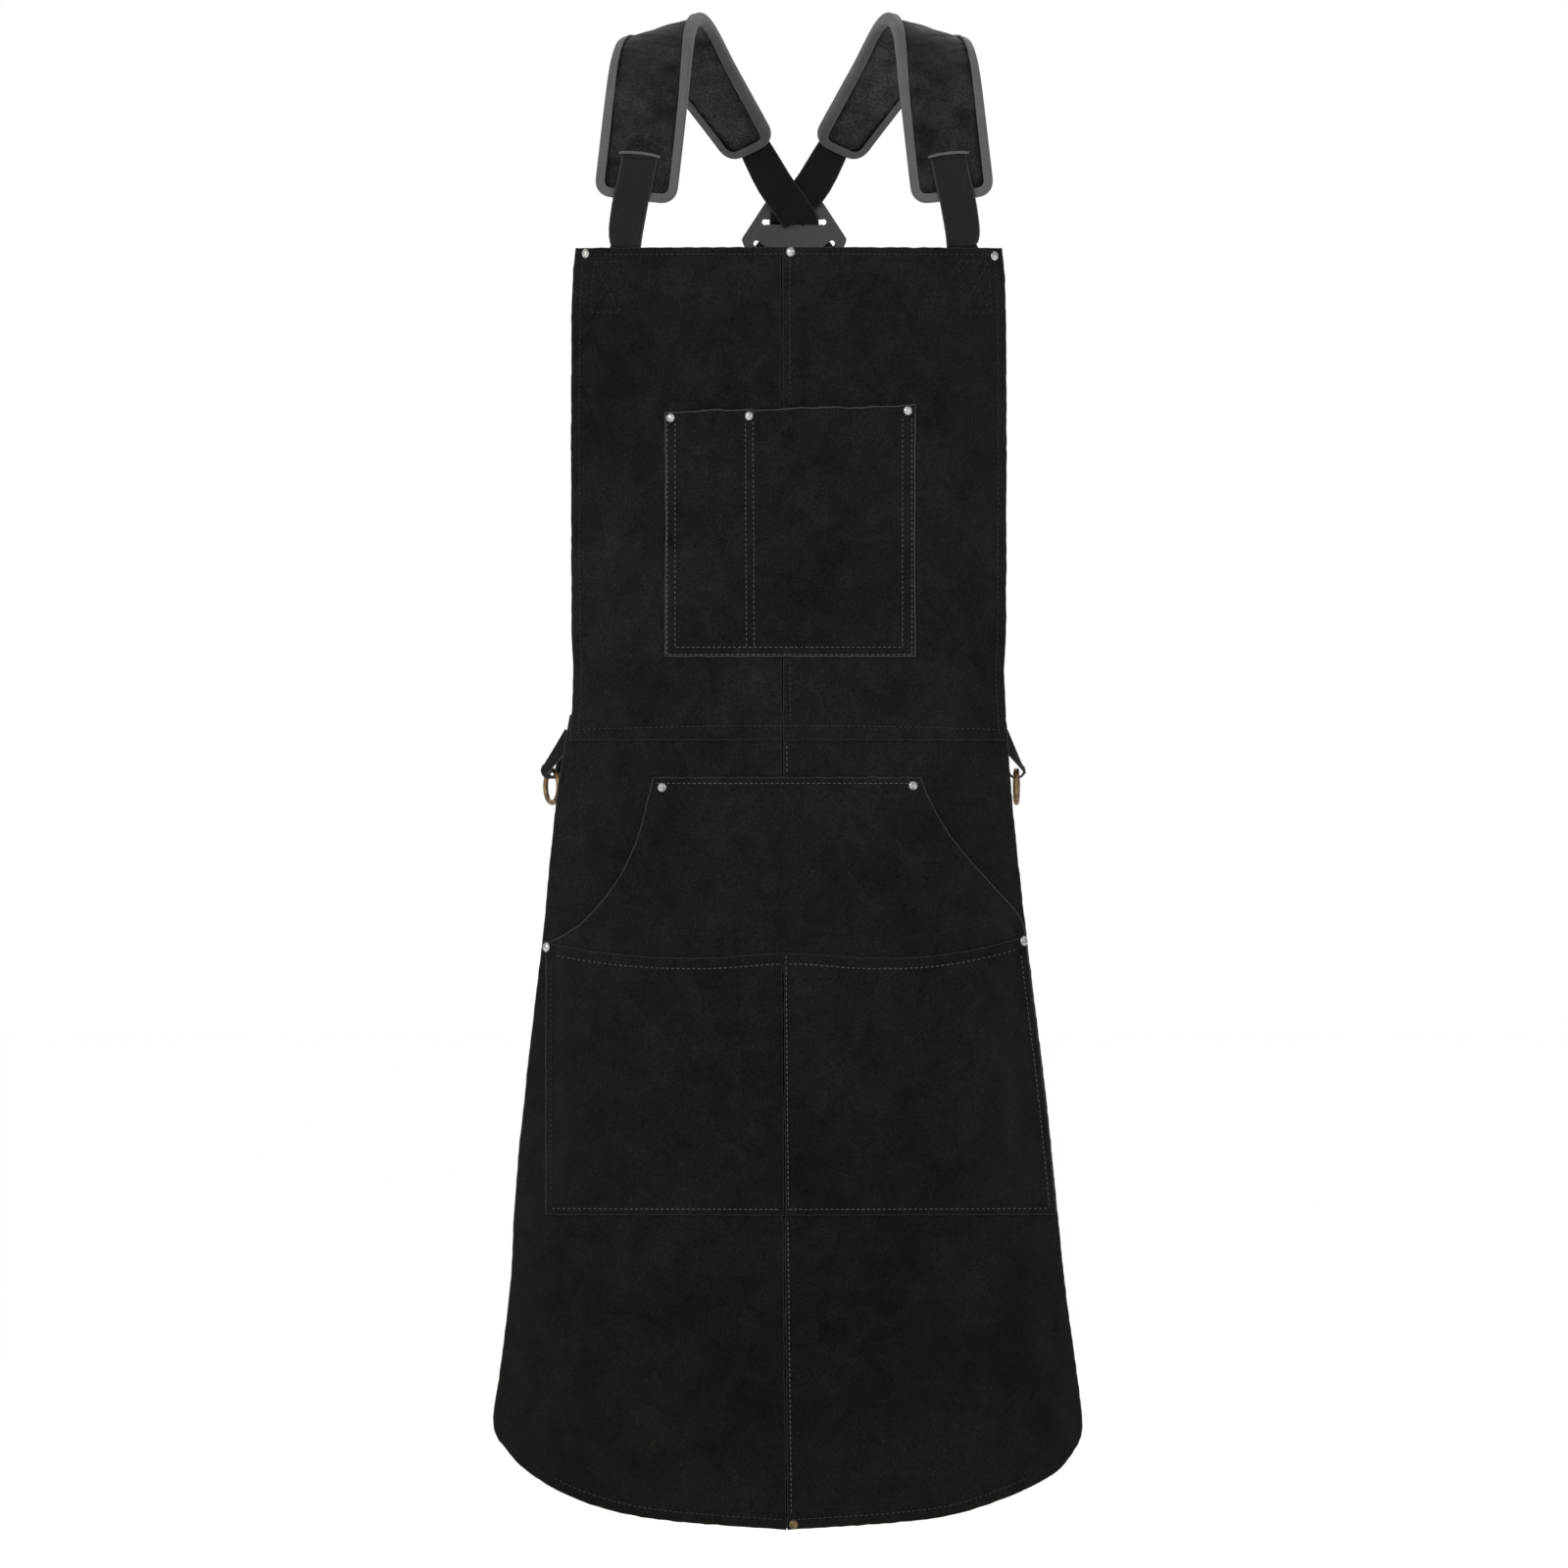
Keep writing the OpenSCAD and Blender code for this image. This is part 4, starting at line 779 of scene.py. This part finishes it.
def strap(name, stations, thickness, materials, steps=4, across=12):
    """A closed strap with rounded edges and UVs in mm, along then across.

    Each station is (centre, width direction, width); a second material goes on the edges.
    """
    centre = smooth_line([s[0] for s in stations], steps)
    wide = smooth_line([s[1] for s in stations], steps)
    size = smooth_line([[s[2], 0] for s in stations], steps)[:, 0]
    t = unit(np.gradient(centre, axis=0))
    w = unit(wide - (wide * t).sum(1)[:, None] * t)
    n = np.cross(w, t)
    half = thickness / 2
    flat = [0.985 * mix(-0.5, 0.5, k / across) for k in range(1, across)]
    profile = ([(-0.5, 0.0), (-0.485, half * 0.75)] + [(q, half) for q in flat]
               + [(0.485, half * 0.75), (0.5, 0.0), (0.485, -half * 0.75)]
               + [(q, -half) for q in reversed(flat)] + [(-0.485, -half * 0.75)])
    m = len(profile)
    run = walk(centre)
    verts = [centre[i] + w[i] * q * size[i] + n[i] * h for i in range(len(centre)) for q, h in profile]
    uvs = [(run[i], q * size[i]) for i in range(len(centre)) for q, _ in profile]
    at_rim = [int(k in (0, m - 1, m // 2 - 1, m // 2)) for k in range(m)]
    slots = np.minimum(at_rim * (len(centre) - 1) + [1, 1], len(materials) - 1)
    return new_object(name, verts, tube_faces(len(centre), m), materials, slots, uvs)


def place_root_strap(made, node):
    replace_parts(made, node)
    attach(made, ROOT)


def strap_station(s, side):
    """The station of the strap at negative x, or with side -1 of its twin."""
    (x, y, z), (wx, wy, wz), width = s
    return (STRAP_X + side * x, y, z), (wx, side * wy, side * wz), width


# ---------- shoulder pads ----------
PAD_W, PAD_REAR_W = 67.0, 46.0
PAD_LINE = [
    ((-132.5, -80, -145), (1, 0, -0.075), PAD_W), ((-128.5, -77.5, -111), (1, 0, -0.04), PAD_W),
    ((-123, -69, -63), (1, -0.05, 0.04), PAD_W), ((-118.5, -51, -28), (0.97, -0.15, 0.18), PAD_W),
    ((-113.5, -26, -9), (0.93, -0.22, 0.27), PAD_W), ((-105.5, 5, -5), (0.9, -0.28, 0.32), PAD_W),
    ((-94.5, 33, -14), (0.83, -0.38, 0.38), PAD_W - 3),
    ((-78.5, 55, -38), (0.78, -0.45, 0.42), mix(PAD_REAR_W, PAD_W, 0.6)),
    ((-56.5, 71, -71), (0.75, -0.49, 0.44), mix(PAD_REAR_W, PAD_W, 0.3)),
    ((-35.5, 82, -103), (0.74, -0.5, 0.45), PAD_REAR_W)]
pad_centre, pad_dir = (smooth_line([s[k] for s in PAD_LINE], 3) for k in (0, 1))
pad_width = smooth_line([[s[2], 0] for s in PAD_LINE], 3)[:, 0]
pad_run = walk(pad_centre)
PAD_LENGTH = pad_run[-1]
PAD_LAST = len(pad_centre) - 1
COVER_TOP, LINING_FOOT = 4.7, -3.7
PAD_MIDDLE = (COVER_TOP + LINING_FOOT) / 2
WEB_UNDER, WEB_OVER = 2.4, 6.85
CORNER_R = 11.0


def pad_frame(p):
    """Centre, width direction, width, tangent and normal at the fractional station p."""
    def centre(q):
        q = float(np.clip(q, 0, PAD_LAST))
        j = min(int(q), PAD_LAST - 1)
        return mix(pad_centre[j], pad_centre[j + 1], q - j)

    p = float(np.clip(p, 0, PAD_LAST))
    i = min(int(p), PAD_LAST - 1)
    along = unit(centre(p + 0.5) - centre(p - 0.5))
    wide = mix(pad_dir[i], pad_dir[i + 1], p - i)
    wide = unit(wide - (wide @ along) * along)
    return centre(p), wide, mix(pad_width[i], pad_width[i + 1], p - i), along, np.cross(wide, along)


def pad_across(run, inset):
    """Centre, half width vector and normal of the pad run mm along it, drawn in by inset at its edge."""
    c, w, width, _, n = pad_frame(float(np.interp(run, pad_run, np.arange(PAD_LAST + 1))))
    return c, w, width / 2 - inset, n


def end_cut(run):
    """How much a rounded end narrows the pad on each side, run mm in from the end."""
    if run >= CORNER_R:
        return 0.0
    return CORNER_R - math.sqrt(max(0.0, CORNER_R ** 2 - (CORNER_R - run) ** 2))


def mirrored(points, side):
    """Points of the pad at negative x put in their place, for side 1 or its twin -1."""
    p = np.array(points, float)
    p[..., 0] = STRAP_X + side * p[..., 0]
    return p


def pad_blank(edge, low, high):
    """Verts and faces of a flat-sided pad drawn in by edge, from height low to high."""
    runs = [edge + 0.4 + (CORNER_R - 0.4) * (1 - math.cos(math.pi / 2 * k / 6)) for k in range(7)]
    runs += list(np.linspace(edge + CORNER_R + 4, PAD_LENGTH - edge - CORNER_R - 4, 52))
    runs += [PAD_LENGTH - r for r in reversed(runs[:7])]
    nu = 15
    m = 2 * nu
    verts, faces = [], []
    for run in runs:
        c, w, half, n = pad_across(run, edge + end_cut(min(run, PAD_LENGTH - run) - edge))
        for height in (low, high):
            for q in np.linspace(-1, 1, nu):
                verts.append(c + w * half * q + n * mix((low + high) / 2, height, 1 - 0.35 * abs(q) ** 6))
    for j in range(len(runs) - 1):
        for k in range(nu - 1):
            a, b = j * m + k, j * m + k + nu
            faces += [(a, a + 1, a + 1 + m, a + m), (b, b + m, b + 1 + m, b + 1)]
        a, b = j * m, j * m + nu - 1
        faces += [(a, a + m, a + m + nu, a + nu), (b, b + nu, b + m + nu, b + m)]
    for start in (0, (len(runs) - 1) * m):
        faces += [(a, a + nu, a + nu + 1, a + 1) for a in range(start, start + nu - 1)]
    return verts, faces


CLOTH = {"quality": 6, "mass": 0.15, "tension_stiffness": 18, "compression_stiffness": 18,
         "shear_stiffness": 6, "bending_stiffness": 0.6, "use_pressure": True,
         "uniform_pressure_force": 4.0}
CLOTH_FRAMES = 20
CLOTH_CAP = 2.2


def press_cloth(made):
    """Cloth pressure on a closed mesh; no point may move further than the cap."""
    rest = np.empty(len(made.data.vertices) * 3)
    made.data.vertices.foreach_get("co", rest)
    cloth = made.modifiers.new("cloth", "CLOTH")
    for key, value in CLOTH.items():
        setattr(cloth.settings, key, value)
    cloth.settings.effector_weights.gravity = 0
    cloth.collision_settings.use_collision = False
    cloth.point_cache.frame_start = 1
    cloth.point_cache.frame_end = CLOTH_FRAMES
    for k in range(1, CLOTH_FRAMES + 1):
        bpy.context.scene.frame_set(k)
    posed = made.evaluated_get(bpy.context.evaluated_depsgraph_get())
    moved = np.empty_like(rest)
    posed.to_mesh().vertices.foreach_get("co", moved)
    posed.to_mesh_clear()
    shift = (moved - rest).reshape(-1, 3)
    far = np.linalg.norm(shift, axis=1, keepdims=True)
    shift *= np.minimum(1, CLOTH_CAP * MM / np.maximum(far, 1e-9))
    made.modifiers.remove(cloth)
    bpy.context.scene.frame_set(1)
    made.data.vertices.foreach_set("co", (rest.reshape(-1, 3) + shift).ravel())
    made.data.update()


def apply_modifiers(made):
    mesh = bpy.data.meshes.new_from_object(made.evaluated_get(bpy.context.evaluated_depsgraph_get()))
    made.modifiers.clear()
    made.data = mesh


def make_pad():
    """One stuffed pad in the place of the one at negative x, as points in mm and faces."""
    made = new_object("pad_blank", *pad_blank(2.2, LINING_FOOT + 0.9, COVER_TOP - 0.9), [])
    remesh = made.modifiers.new("remesh", "REMESH")
    remesh.mode = "VOXEL"
    remesh.voxel_size = 0.004
    remesh.use_smooth_shade = True
    apply_modifiers(made)
    press_cloth(made)
    made.modifiers.new("finer", "SUBSURF").levels = 1
    apply_modifiers(made)
    points = np.array([v.co[:] for v in made.data.vertices]) / MM
    polygons = [tuple(p.vertices) for p in made.data.polygons]
    bpy.data.objects.remove(made)
    return points, polygons


def pad_heights(points):
    """Each point's height over the pad's middle surface."""
    near = ((points[:, None, :] - pad_centre[None]) ** 2).sum(2).argmin(1)
    normals = np.array([pad_frame(k)[4] for k in range(PAD_LAST + 1)])
    return ((points - pad_centre[near]) * normals[near]).sum(1)


pad_points, pad_faces = make_pad()
pad_level = pad_heights(pad_points)
crease = 0.28 * field(CREASES, pad_points[:, 0] + pad_points[:, 1], pad_points[:, 2])
pad_points = pad_points + crease[:, None] * unit(pad_points - pad_points.mean(0))
pad_slots = [0 if np.mean(pad_level[list(f)]) > PAD_MIDDLE else 1 for f in pad_faces]

# ---------- binding tape round the pads ----------
BINDING_W, TAPE_T = 5.8, 0.75
EDGE_SPACING = 2.6
EDGE_STITCH_PITCH, EDGE_STITCH_IN = 4.2, 1.3


def end_row(a, b):
    """Points between two of the edge's points, without them."""
    n = max(2, int(np.linalg.norm(b[0] - a[0]) / EDGE_SPACING))
    return [(mix(a[0], b[0], k / n), unit(mix(a[1], b[1], k / n))) for k in range(1, n)]


def smooth_ring(points):
    for _ in range(3):
        points = (np.roll(points, 1, 0) + 2 * points + np.roll(points, -1, 0)) / 4
    return points


def pad_edge_loop():
    """Points right round the pad's edge, with the outward direction and the pad's normal at each."""
    arc = [CORNER_R * (1 - math.cos(math.pi / 2 * k / 9)) for k in range(10)]
    straight = np.linspace(CORNER_R, PAD_LENGTH - CORNER_R, int(PAD_LENGTH / EDGE_SPACING))[1:-1]
    rows = {-1: [], 1: []}
    for run in arc + list(straight) + [PAD_LENGTH - a for a in reversed(arc)]:
        c, w, half, n = pad_across(run, 0.9 + end_cut(min(run, PAD_LENGTH - run)))
        for s in (-1, 1):
            rows[s].append((c + s * w * half, n))
    ring = (rows[-1] + end_row(rows[-1][-1], rows[1][-1]) + rows[1][::-1] + end_row(rows[1][0], rows[-1][0]))
    p = smooth_ring(np.array([r[0] for r in ring]))
    n = unit(smooth_ring(np.array([r[1] for r in ring])))
    out = unit(np.cross(n, unit(np.roll(p, -1, 0) - np.roll(p, 1, 0))))
    return p, out * np.sign(((p - p.mean(0)) * out).sum()), n


loop_p, loop_out, loop_n = pad_edge_loop()


def tape_section():
    """The folded tape's section as (distance outwards, height): its outside, then its inside."""
    w, t = BINDING_W, TAPE_T
    high, low = COVER_TOP + 0.35, LINING_FOOT - 0.35
    half = (high - low) / 2
    bend = [(math.cos(a), math.sin(a)) for a in np.linspace(math.pi / 2, -math.pi / 2, 9)]
    section = [(-w, high + t * 0.35), (-w + 0.6, high + t), (-w * 0.66, high + t), (-w * 0.33, high + t)]
    section += [(2.0 * c, PAD_MIDDLE + (half + t) * s) for c, s in bend]
    section += [(-w * 0.33, low - t), (-w * 0.66, low - t), (-w + 0.6, low - t), (-w, low - t * 0.35)]
    section += [(-w, low), (-w * 0.5, low)]
    section += [(1.1 * c, PAD_MIDDLE - half * s) for c, s in bend]
    return section + [(-w * 0.5, high), (-w, high)]


def make_binding(name, side):
    """The tape folded round the pad's edge: a closed channel with a soft outer bend."""
    section = tape_section()
    s = walk(loop_p)
    pucker = 0.16 * np.sin(s / 2.1) * np.sin(s / 17.0 + 1) + 0.12 * np.sin(s / 5.7)
    verts, uvs = [], []
    for i, point in enumerate(loop_p):
        for q, h in section:
            lift = pucker[i] * (1 if q < -1 else 0.5) * (1 if h > PAD_MIDDLE else -1)
            verts.append(point + loop_out[i] * q + loop_n[i] * (h + lift))
            uvs.append((s[i], q + h))
    faces = tube_faces(len(loop_p), len(section), looped=True)
    made = new_object(name, mirrored(verts, side), faces, [BINDING], uvs=uvs)
    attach(made, ROOT)
    return made


def edge_stitches(name, side):
    """Stitches along the binding's inner edge, on the cover and on the lining."""
    verts, faces = [], []
    up = np.concatenate([loop_n, loop_n[:1]])
    number = int(walk(np.concatenate([loop_p, loop_p[:1]]))[-1] / EDGE_STITCH_PITCH)
    for height, face in ((COVER_TOP + 1.25, 1), (LINING_FOOT - 1.25, -1)):
        line = loop_p + loop_out * (EDGE_STITCH_IN - BINDING_W) + loop_n * height
        line = np.concatenate([line, line[:1]])
        rings = [(s, 0.36 * fat, 0.3 * fat, -0.35 * face if abs(s) > 1 else 0.0)
                 for s, fat in ((-1.5, 0.4), (-0.9, 0.9), (0.9, 0.9), (1.5, 0.4))]
        at = np.arange(number)
        mid, fore, aft = (resample(line, (at + shift) / number) for shift in (0.5, 0.62, 0.38))
        normal = resample(up, (at + 0.5) / number)
        along = unit(fore - aft)
        for k in at:
            add_stitch(verts, faces, mid[k], along[k], np.cross(normal[k], along[k]), normal[k], rings)
    made = new_object(name, mirrored(verts, side), faces, [BINDING_THREAD])
    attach(made, ROOT)


SLIT_FRONT, SLIT_REAR = 3.0, PAD_LAST - 2.5
LIP_SIDES = 10


def slit_lip(name, p, toward, side):
    """The rolled lip over the slit where the webbing leaves the pad."""
    c, w, _, t, n = pad_frame(p)
    half = WEB_W / 2 + 2.6
    path = np.array([c + w * half * q + t * toward * (1.4 * (1 - q * q) + 1.0)
                     + n * (COVER_TOP + 2.9 - 2.6 * q ** 6) for q in np.linspace(-1, 1, 13)])
    cross = np.cross(unit(np.gradient(path, axis=0)), n)
    run = walk(path)
    verts, uvs = [], []
    for i in range(len(path)):
        for k in range(LIP_SIDES):
            a = math.tau * k / LIP_SIDES
            verts.append(path[i] + cross[i] * 1.25 * math.cos(a) + n * 0.7 * math.sin(a))
            uvs.append((run[i], k))
    made = new_object(name, mirrored(verts, side), tube_faces(len(path), LIP_SIDES), [BINDING], uvs=uvs)
    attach(made, ROOT)


for word, side in zip(SIDES, (1, -1)):
    pad = new_object("shoulder_pad_" + word, mirrored(pad_points, side), pad_faces,
                     [PAD_FACE, PAD_LINING], pad_slots)
    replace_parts(pad, "pad_cover_" + word, "pad_foam_" + word, "pad_lining_" + word)
    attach(pad, ROOT)
    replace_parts(make_binding("pad_tape_" + word, side), "pad_binding_" + word)
    edge_stitches("pad_tape_stitching_" + word, side)
    slit_lip("front_slit_lip_" + word, SLIT_FRONT, 1, side)
    slit_lip("rear_slit_lip_" + word, SLIT_REAR, -1, side)


# ---------- shoulder webbing ----------
def inside_bib(x, z, side):
    at = STRAP_X + side * x
    a = math.asin(at / wrap_radius(z))
    return tuple(wrap_point(at, z, -PITCH)), (math.cos(a), math.sin(a), 0), WEB_W


def on_pad(p, height, side, across=0.0):
    c, w, _, _, n = pad_frame(p)
    return strap_station((tuple(c + height * n + across * w), tuple(w), WEB_W), side)


BIB_WEB = [(-157, -245), (-153, -228), (-147.5, -208), (-142.5, -192), (-140.6, -186.5)]
OVER_BIB = ((-140.2, -80.5, -172), (0.95, -0.28, -0.03), WEB_W)
# The webbing leaves the pad's front end leaning outwards: (station, shift across the pad).
WEB_LEAN = ((0, -3.2), (1, -1.9), (2, -0.8), (2.6, -0.2))
FRONT_CROSS = [
    ((-17, 89.6, -130), (0.81, -0.1, 0.57)), ((-3.5, 92.2, -149), (0.87, 0, 0.46)),
    ((2.4, 93, -157.5), (0.96, 0, 0.25)), ((5, 93.7, -161.4), (0.99, 0, 0.08)),
    ((5.6, 94.6, -163.5), (1, 0, 0)), ((5.6, 96.2, -164.2), (1, 0, 0)),
    ((5.6, 98.3, -164.1), (1, 0, 0)), ((5.6, 99.8, -164.3), (1, 0, 0)),
    ((5.6, 100.6, -165.4), (1, 0, 0)), ((5.8, 100.7, -167.6), (0.98, 0, 0.18)),
    ((6.5, 100.7, -170.1), (0.91, 0, 0.42)), ((8.3, 100.7, -174), (0.87, 0, 0.5)),
    ((11.6, 100.7, -179.3), (0.84, 0, 0.54)), ((15.4, 100.7, -185), (0.82, 0, 0.56)),
    ((17.9, 100.9, -188.5), (0.8, 0, 0.6)), ((18.6, 100.2, -189.4), (0.81, 0, 0.58)),
    ((19.1, 98.7, -190.1), (0.81, 0, 0.58)), ((19.3, 96.9, -190.3), (0.81, 0, 0.58)),
    ((19.9, 95.6, -191.2), (0.81, 0, 0.58))]
BACK_CROSS = [
    ((-17, 91.8, -130), (0.81, -0.1, 0.57)), ((-3.5, 94.7, -147), (0.87, 0, 0.46)),
    ((2.2, 95.6, -155), (0.96, 0, 0.25)), ((5, 95.7, -158.6), (0.99, 0, 0.08)),
    ((5.6, 96, -160.9), (1, 0, 0)), ((5.6, 97.2, -161.9), (1, 0, 0)),
    ((5.6, 98.6, -162.1), (1, 0, 0)), ((5.6, 100.4, -162.1), (1, 0, 0)),
    ((5.6, 101.9, -162.5), (1, 0, 0)), ((5.6, 102.9, -163.8), (1, 0, 0)),
    ((5.6, 103.1, -165.6), (1, 0, 0)), ((5.8, 103.1, -167.8), (0.98, 0, 0.18)),
    ((6.5, 103.1, -170.3), (0.91, 0, 0.42)), ((8.3, 103.1, -174.1), (0.87, 0, 0.5)),
    ((11.6, 103.1, -179.3), (0.84, 0, 0.54)), ((15.4, 102.8, -185), (0.82, 0, 0.56)),
    ((17.9, 101.6, -188.5), (0.8, 0, 0.6)), ((18.6, 100.5, -189.4), (0.81, 0, 0.58)),
    ((19.1, 98.9, -190.1), (0.81, 0, 0.58)), ((19.3, 96.9, -190.3), (0.81, 0, 0.58)),
    ((19.9, 95.6, -191.2), (0.81, 0, 0.58))]
UNDER_COVER = [3.4] + list(range(4, PAD_LAST - 3)) + [PAD_LAST - 3]
for word, side, crossing in zip(SIDES, (1, -1), (FRONT_CROSS, BACK_CROSS)):
    stations = [inside_bib(x, z, side) for x, z in BIB_WEB] + [strap_station(OVER_BIB, side)]
    stations += [on_pad(p, WEB_OVER, side, shift) for p, shift in WEB_LEAN]
    stations += [on_pad(p, WEB_UNDER, side) for p in UNDER_COVER]
    stations += [on_pad(p, WEB_OVER, side) for p in (PAD_LAST - 2.1, PAD_LAST - 1, PAD_LAST)]
    stations += [strap_station((c, w, WEB_W), side) for c, w in crossing]
    web = strap("shoulder_web_" + word, stations, WEB_T, [WEBBING], 3)
    place_root_strap(web, "shoulder_webbing_" + word)


# ---------- lower straps ----------
def arc_point(start, out, down, radius, angle):
    """start moved round an arc: out at 0 degrees, down at 90, back at 180."""
    a = math.radians(angle)
    return np.array(start) + radius * (np.array(out) * math.cos(a) + np.array(down) * math.sin(a))


SQUARE = (1, 0, 0)
DOWN = (0, 0, -1)
HANG_X, HANG_Y = 58.5, 95.0
TURN_R = 1.75 + 0.3 + WEB_T / 2
BAR_Y, BAR_Z = HANG_Y - TURN_R, -640.0
BACK_Y, TAIL_Z = HANG_Y - 3.2, -545.0
HANG_LINE = [
    ((20.3, 95.2, -191.9), (0.81, 0, 0.58)), ((22.6, 94.8, -195), (0.81, 0, 0.57)),
    ((29, 94.2, -204.5), (0.85, 0, 0.5)), ((39, 93.6, -224), (0.92, 0, 0.38)),
    ((48, 93.2, -252), (0.97, 0, 0.25)), ((54, 93.6, -290), (0.99, 0, 0.13)),
    ((57.3, 94.4, -335), (1, 0, 0.05))]
HANG_LINE += [((HANG_X, HANG_Y, z), SQUARE) for z in (-385, -420, -520, BAR_Z + 6)]
TURN = [(tuple(arc_point((HANG_X, BAR_Y, BAR_Z), (0, 1, 0), DOWN, TURN_R, a)), SQUARE)
        for a in range(0, 181, 20)]
TAIL = [((HANG_X, BAR_Y - TURN_R, BAR_Z + 2), SQUARE)]
TAIL += [((HANG_X, BACK_Y, z), SQUARE) for z in (BAR_Z + 14, BAR_Z + 18, -590, TAIL_Z)]
ON_STRAP = ("strap_slide_", "hook_eye_", "hook_body_", "hook_gate_", "gate_pin_", "gate_spring_")
for word, side in zip(SIDES, (-1, 1)):
    stations = [strap_station((c, w, WEB_W), side) for c, w in HANG_LINE + TURN + TAIL]
    made = strap("lower_web_" + word, stations, WEB_T, [WEBBING])
    place_root_strap(made, "lower_strap_" + word)

# ---------- ring loops ----------
RING_R = (31.5 - 4.3) / 2
LOOP_IN, LOOP_T, LOOP_W = 5.8, 1.5, 16.0
LOOP_TOP_YAW = 43
# Each ring as (side, ring's centre, the way its loop faces, the loop's top).
RINGS = ((-1, (-197.2, -44.5, -635), 66, (-181.5, -61, -592)),
         (1, (189.7, -46, -635), 86, (177, -62.5, -592)))


def flat_way(side, yaw):
    """A level direction across the loop, and the normal there."""
    across = np.array((side * math.cos(math.radians(yaw)), math.sin(math.radians(yaw)), 0))
    return across, np.cross(across, (0, 0, 1))


def loop_stations(side, centre, yaw, top):
    """Down the front leg, round the ring's wire and up the back leg."""
    pivot = np.array(centre) + (0, 0, RING_R)
    (w_low, n_low), (w_high, n_high) = flat_way(side, yaw), flat_way(side, LOOP_TOP_YAW)
    fold = LOOP_IN + LOOP_T / 2

    def leg(sign):
        out = []
        for t in (0, 0.25, 0.5, 0.75, 0.92):
            wide, n = unit(mix(w_high, w_low, t)), unit(mix(n_high, n_low, t))
            reach = sign * n * mix(LOOP_T / 2 + 0.15, fold, t)
            out.append((mix(np.array(top), pivot, t) + reach, wide, LOOP_W))
        return out

    turn = [(arc_point(pivot, n_low, DOWN, fold, a), w_low, LOOP_W) for a in range(0, 181, 15)]
    return leg(1) + turn + leg(-1)[::-1]


for word, ring in zip(SIDES, RINGS):
    made = strap("ring_tab_" + word, loop_stations(*ring), LOOP_T, [LEATHER, RAW_EDGE], 3, 8)
    place_root_strap(made, "ring_loop_" + word)


# ---------- carried-over CAD pieces ----------
def dress(names, finish, bevel=0.0):
    for name in names:
        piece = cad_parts[name]
        piece.data.materials.clear()
        piece.data.materials.append(finish)
        if bevel:
            soft = piece.modifiers.new("edge", "BEVEL")
            soft.width = bevel * MM
            soft.segments = 2
            soft.limit_method = "ANGLE"
            soft.angle_limit = math.radians(50)


def both(*stems):
    return [stem + word for word in SIDES for stem in stems]


dress(["bib_rivets", "bib_rivet_backs", "pocket_rivets", "pocket_rivet_backs", "hand_pocket_rivets",
       "hand_pocket_rivet_backs"], RIVET_METAL)
dress(["hem_rivet", "hem_rivet_back"] + both("ring_"), BRASS)
dress(["cross_plate"], PLASTIC, 0.5)
dress(both("strap_slide_"), PLASTIC, 0.4)
dress(both(*ON_STRAP[1:]), HOOK_METAL)

# ---------- floor and lights ----------
FLOOR_Z = (HEM - 60) * MM
REACH = 90.0
floor_mesh = bpy.data.meshes.new("floor")
floor_mesh.from_pydata([(x * REACH, y * REACH, FLOOR_Z) for x, y in ((-1, -1), (1, -1), (1, 1), (-1, 1))],
                       [], [(0, 1, 2, 3)])
floor = bpy.data.objects.new("floor", floor_mesh)
bpy.context.scene.collection.objects.link(floor)
floor_finish = Finish("pale_floor", 0.9, specular=0.1)
floor_finish.inputs["Base Color"].default_value = (1, 1, 1, 1)
floor_mesh.materials.append(floor_finish.made)

bpy.context.scene.view_settings.view_transform = "Standard"
world = bpy.data.worlds.new("studio")
bpy.context.scene.world = world
world.use_nodes = True
world.node_tree.nodes["Background"].inputs["Color"].default_value = (1, 1, 1, 1)
world.node_tree.nodes["Background"].inputs["Strength"].default_value = 1.0


def soft_light(name, place, aim, size, power):
    data = bpy.data.lights.new(name, "AREA")
    data.shape = "SQUARE"
    data.size = size
    data.energy = power
    made = bpy.data.objects.new(name, data)
    made.location = place
    toward = np.array(aim) - np.array(place)
    flat = math.hypot(toward[0], toward[1])
    made.rotation_euler = (math.atan2(flat, -toward[2]), 0, math.atan2(toward[1], toward[0]) - math.pi / 2)
    bpy.context.scene.collection.objects.link(made)


soft_light("key", (-1.9, -2.6, 1.0), (0, 0, -0.5), 1.6, 62)
soft_light("fill", (2.3, -2.4, 0.2), (0, 0, -0.6), 2.2, 26)
soft_light("back", (0.6, 2.8, 1.4), (0, 0, -0.4), 1.8, 40)
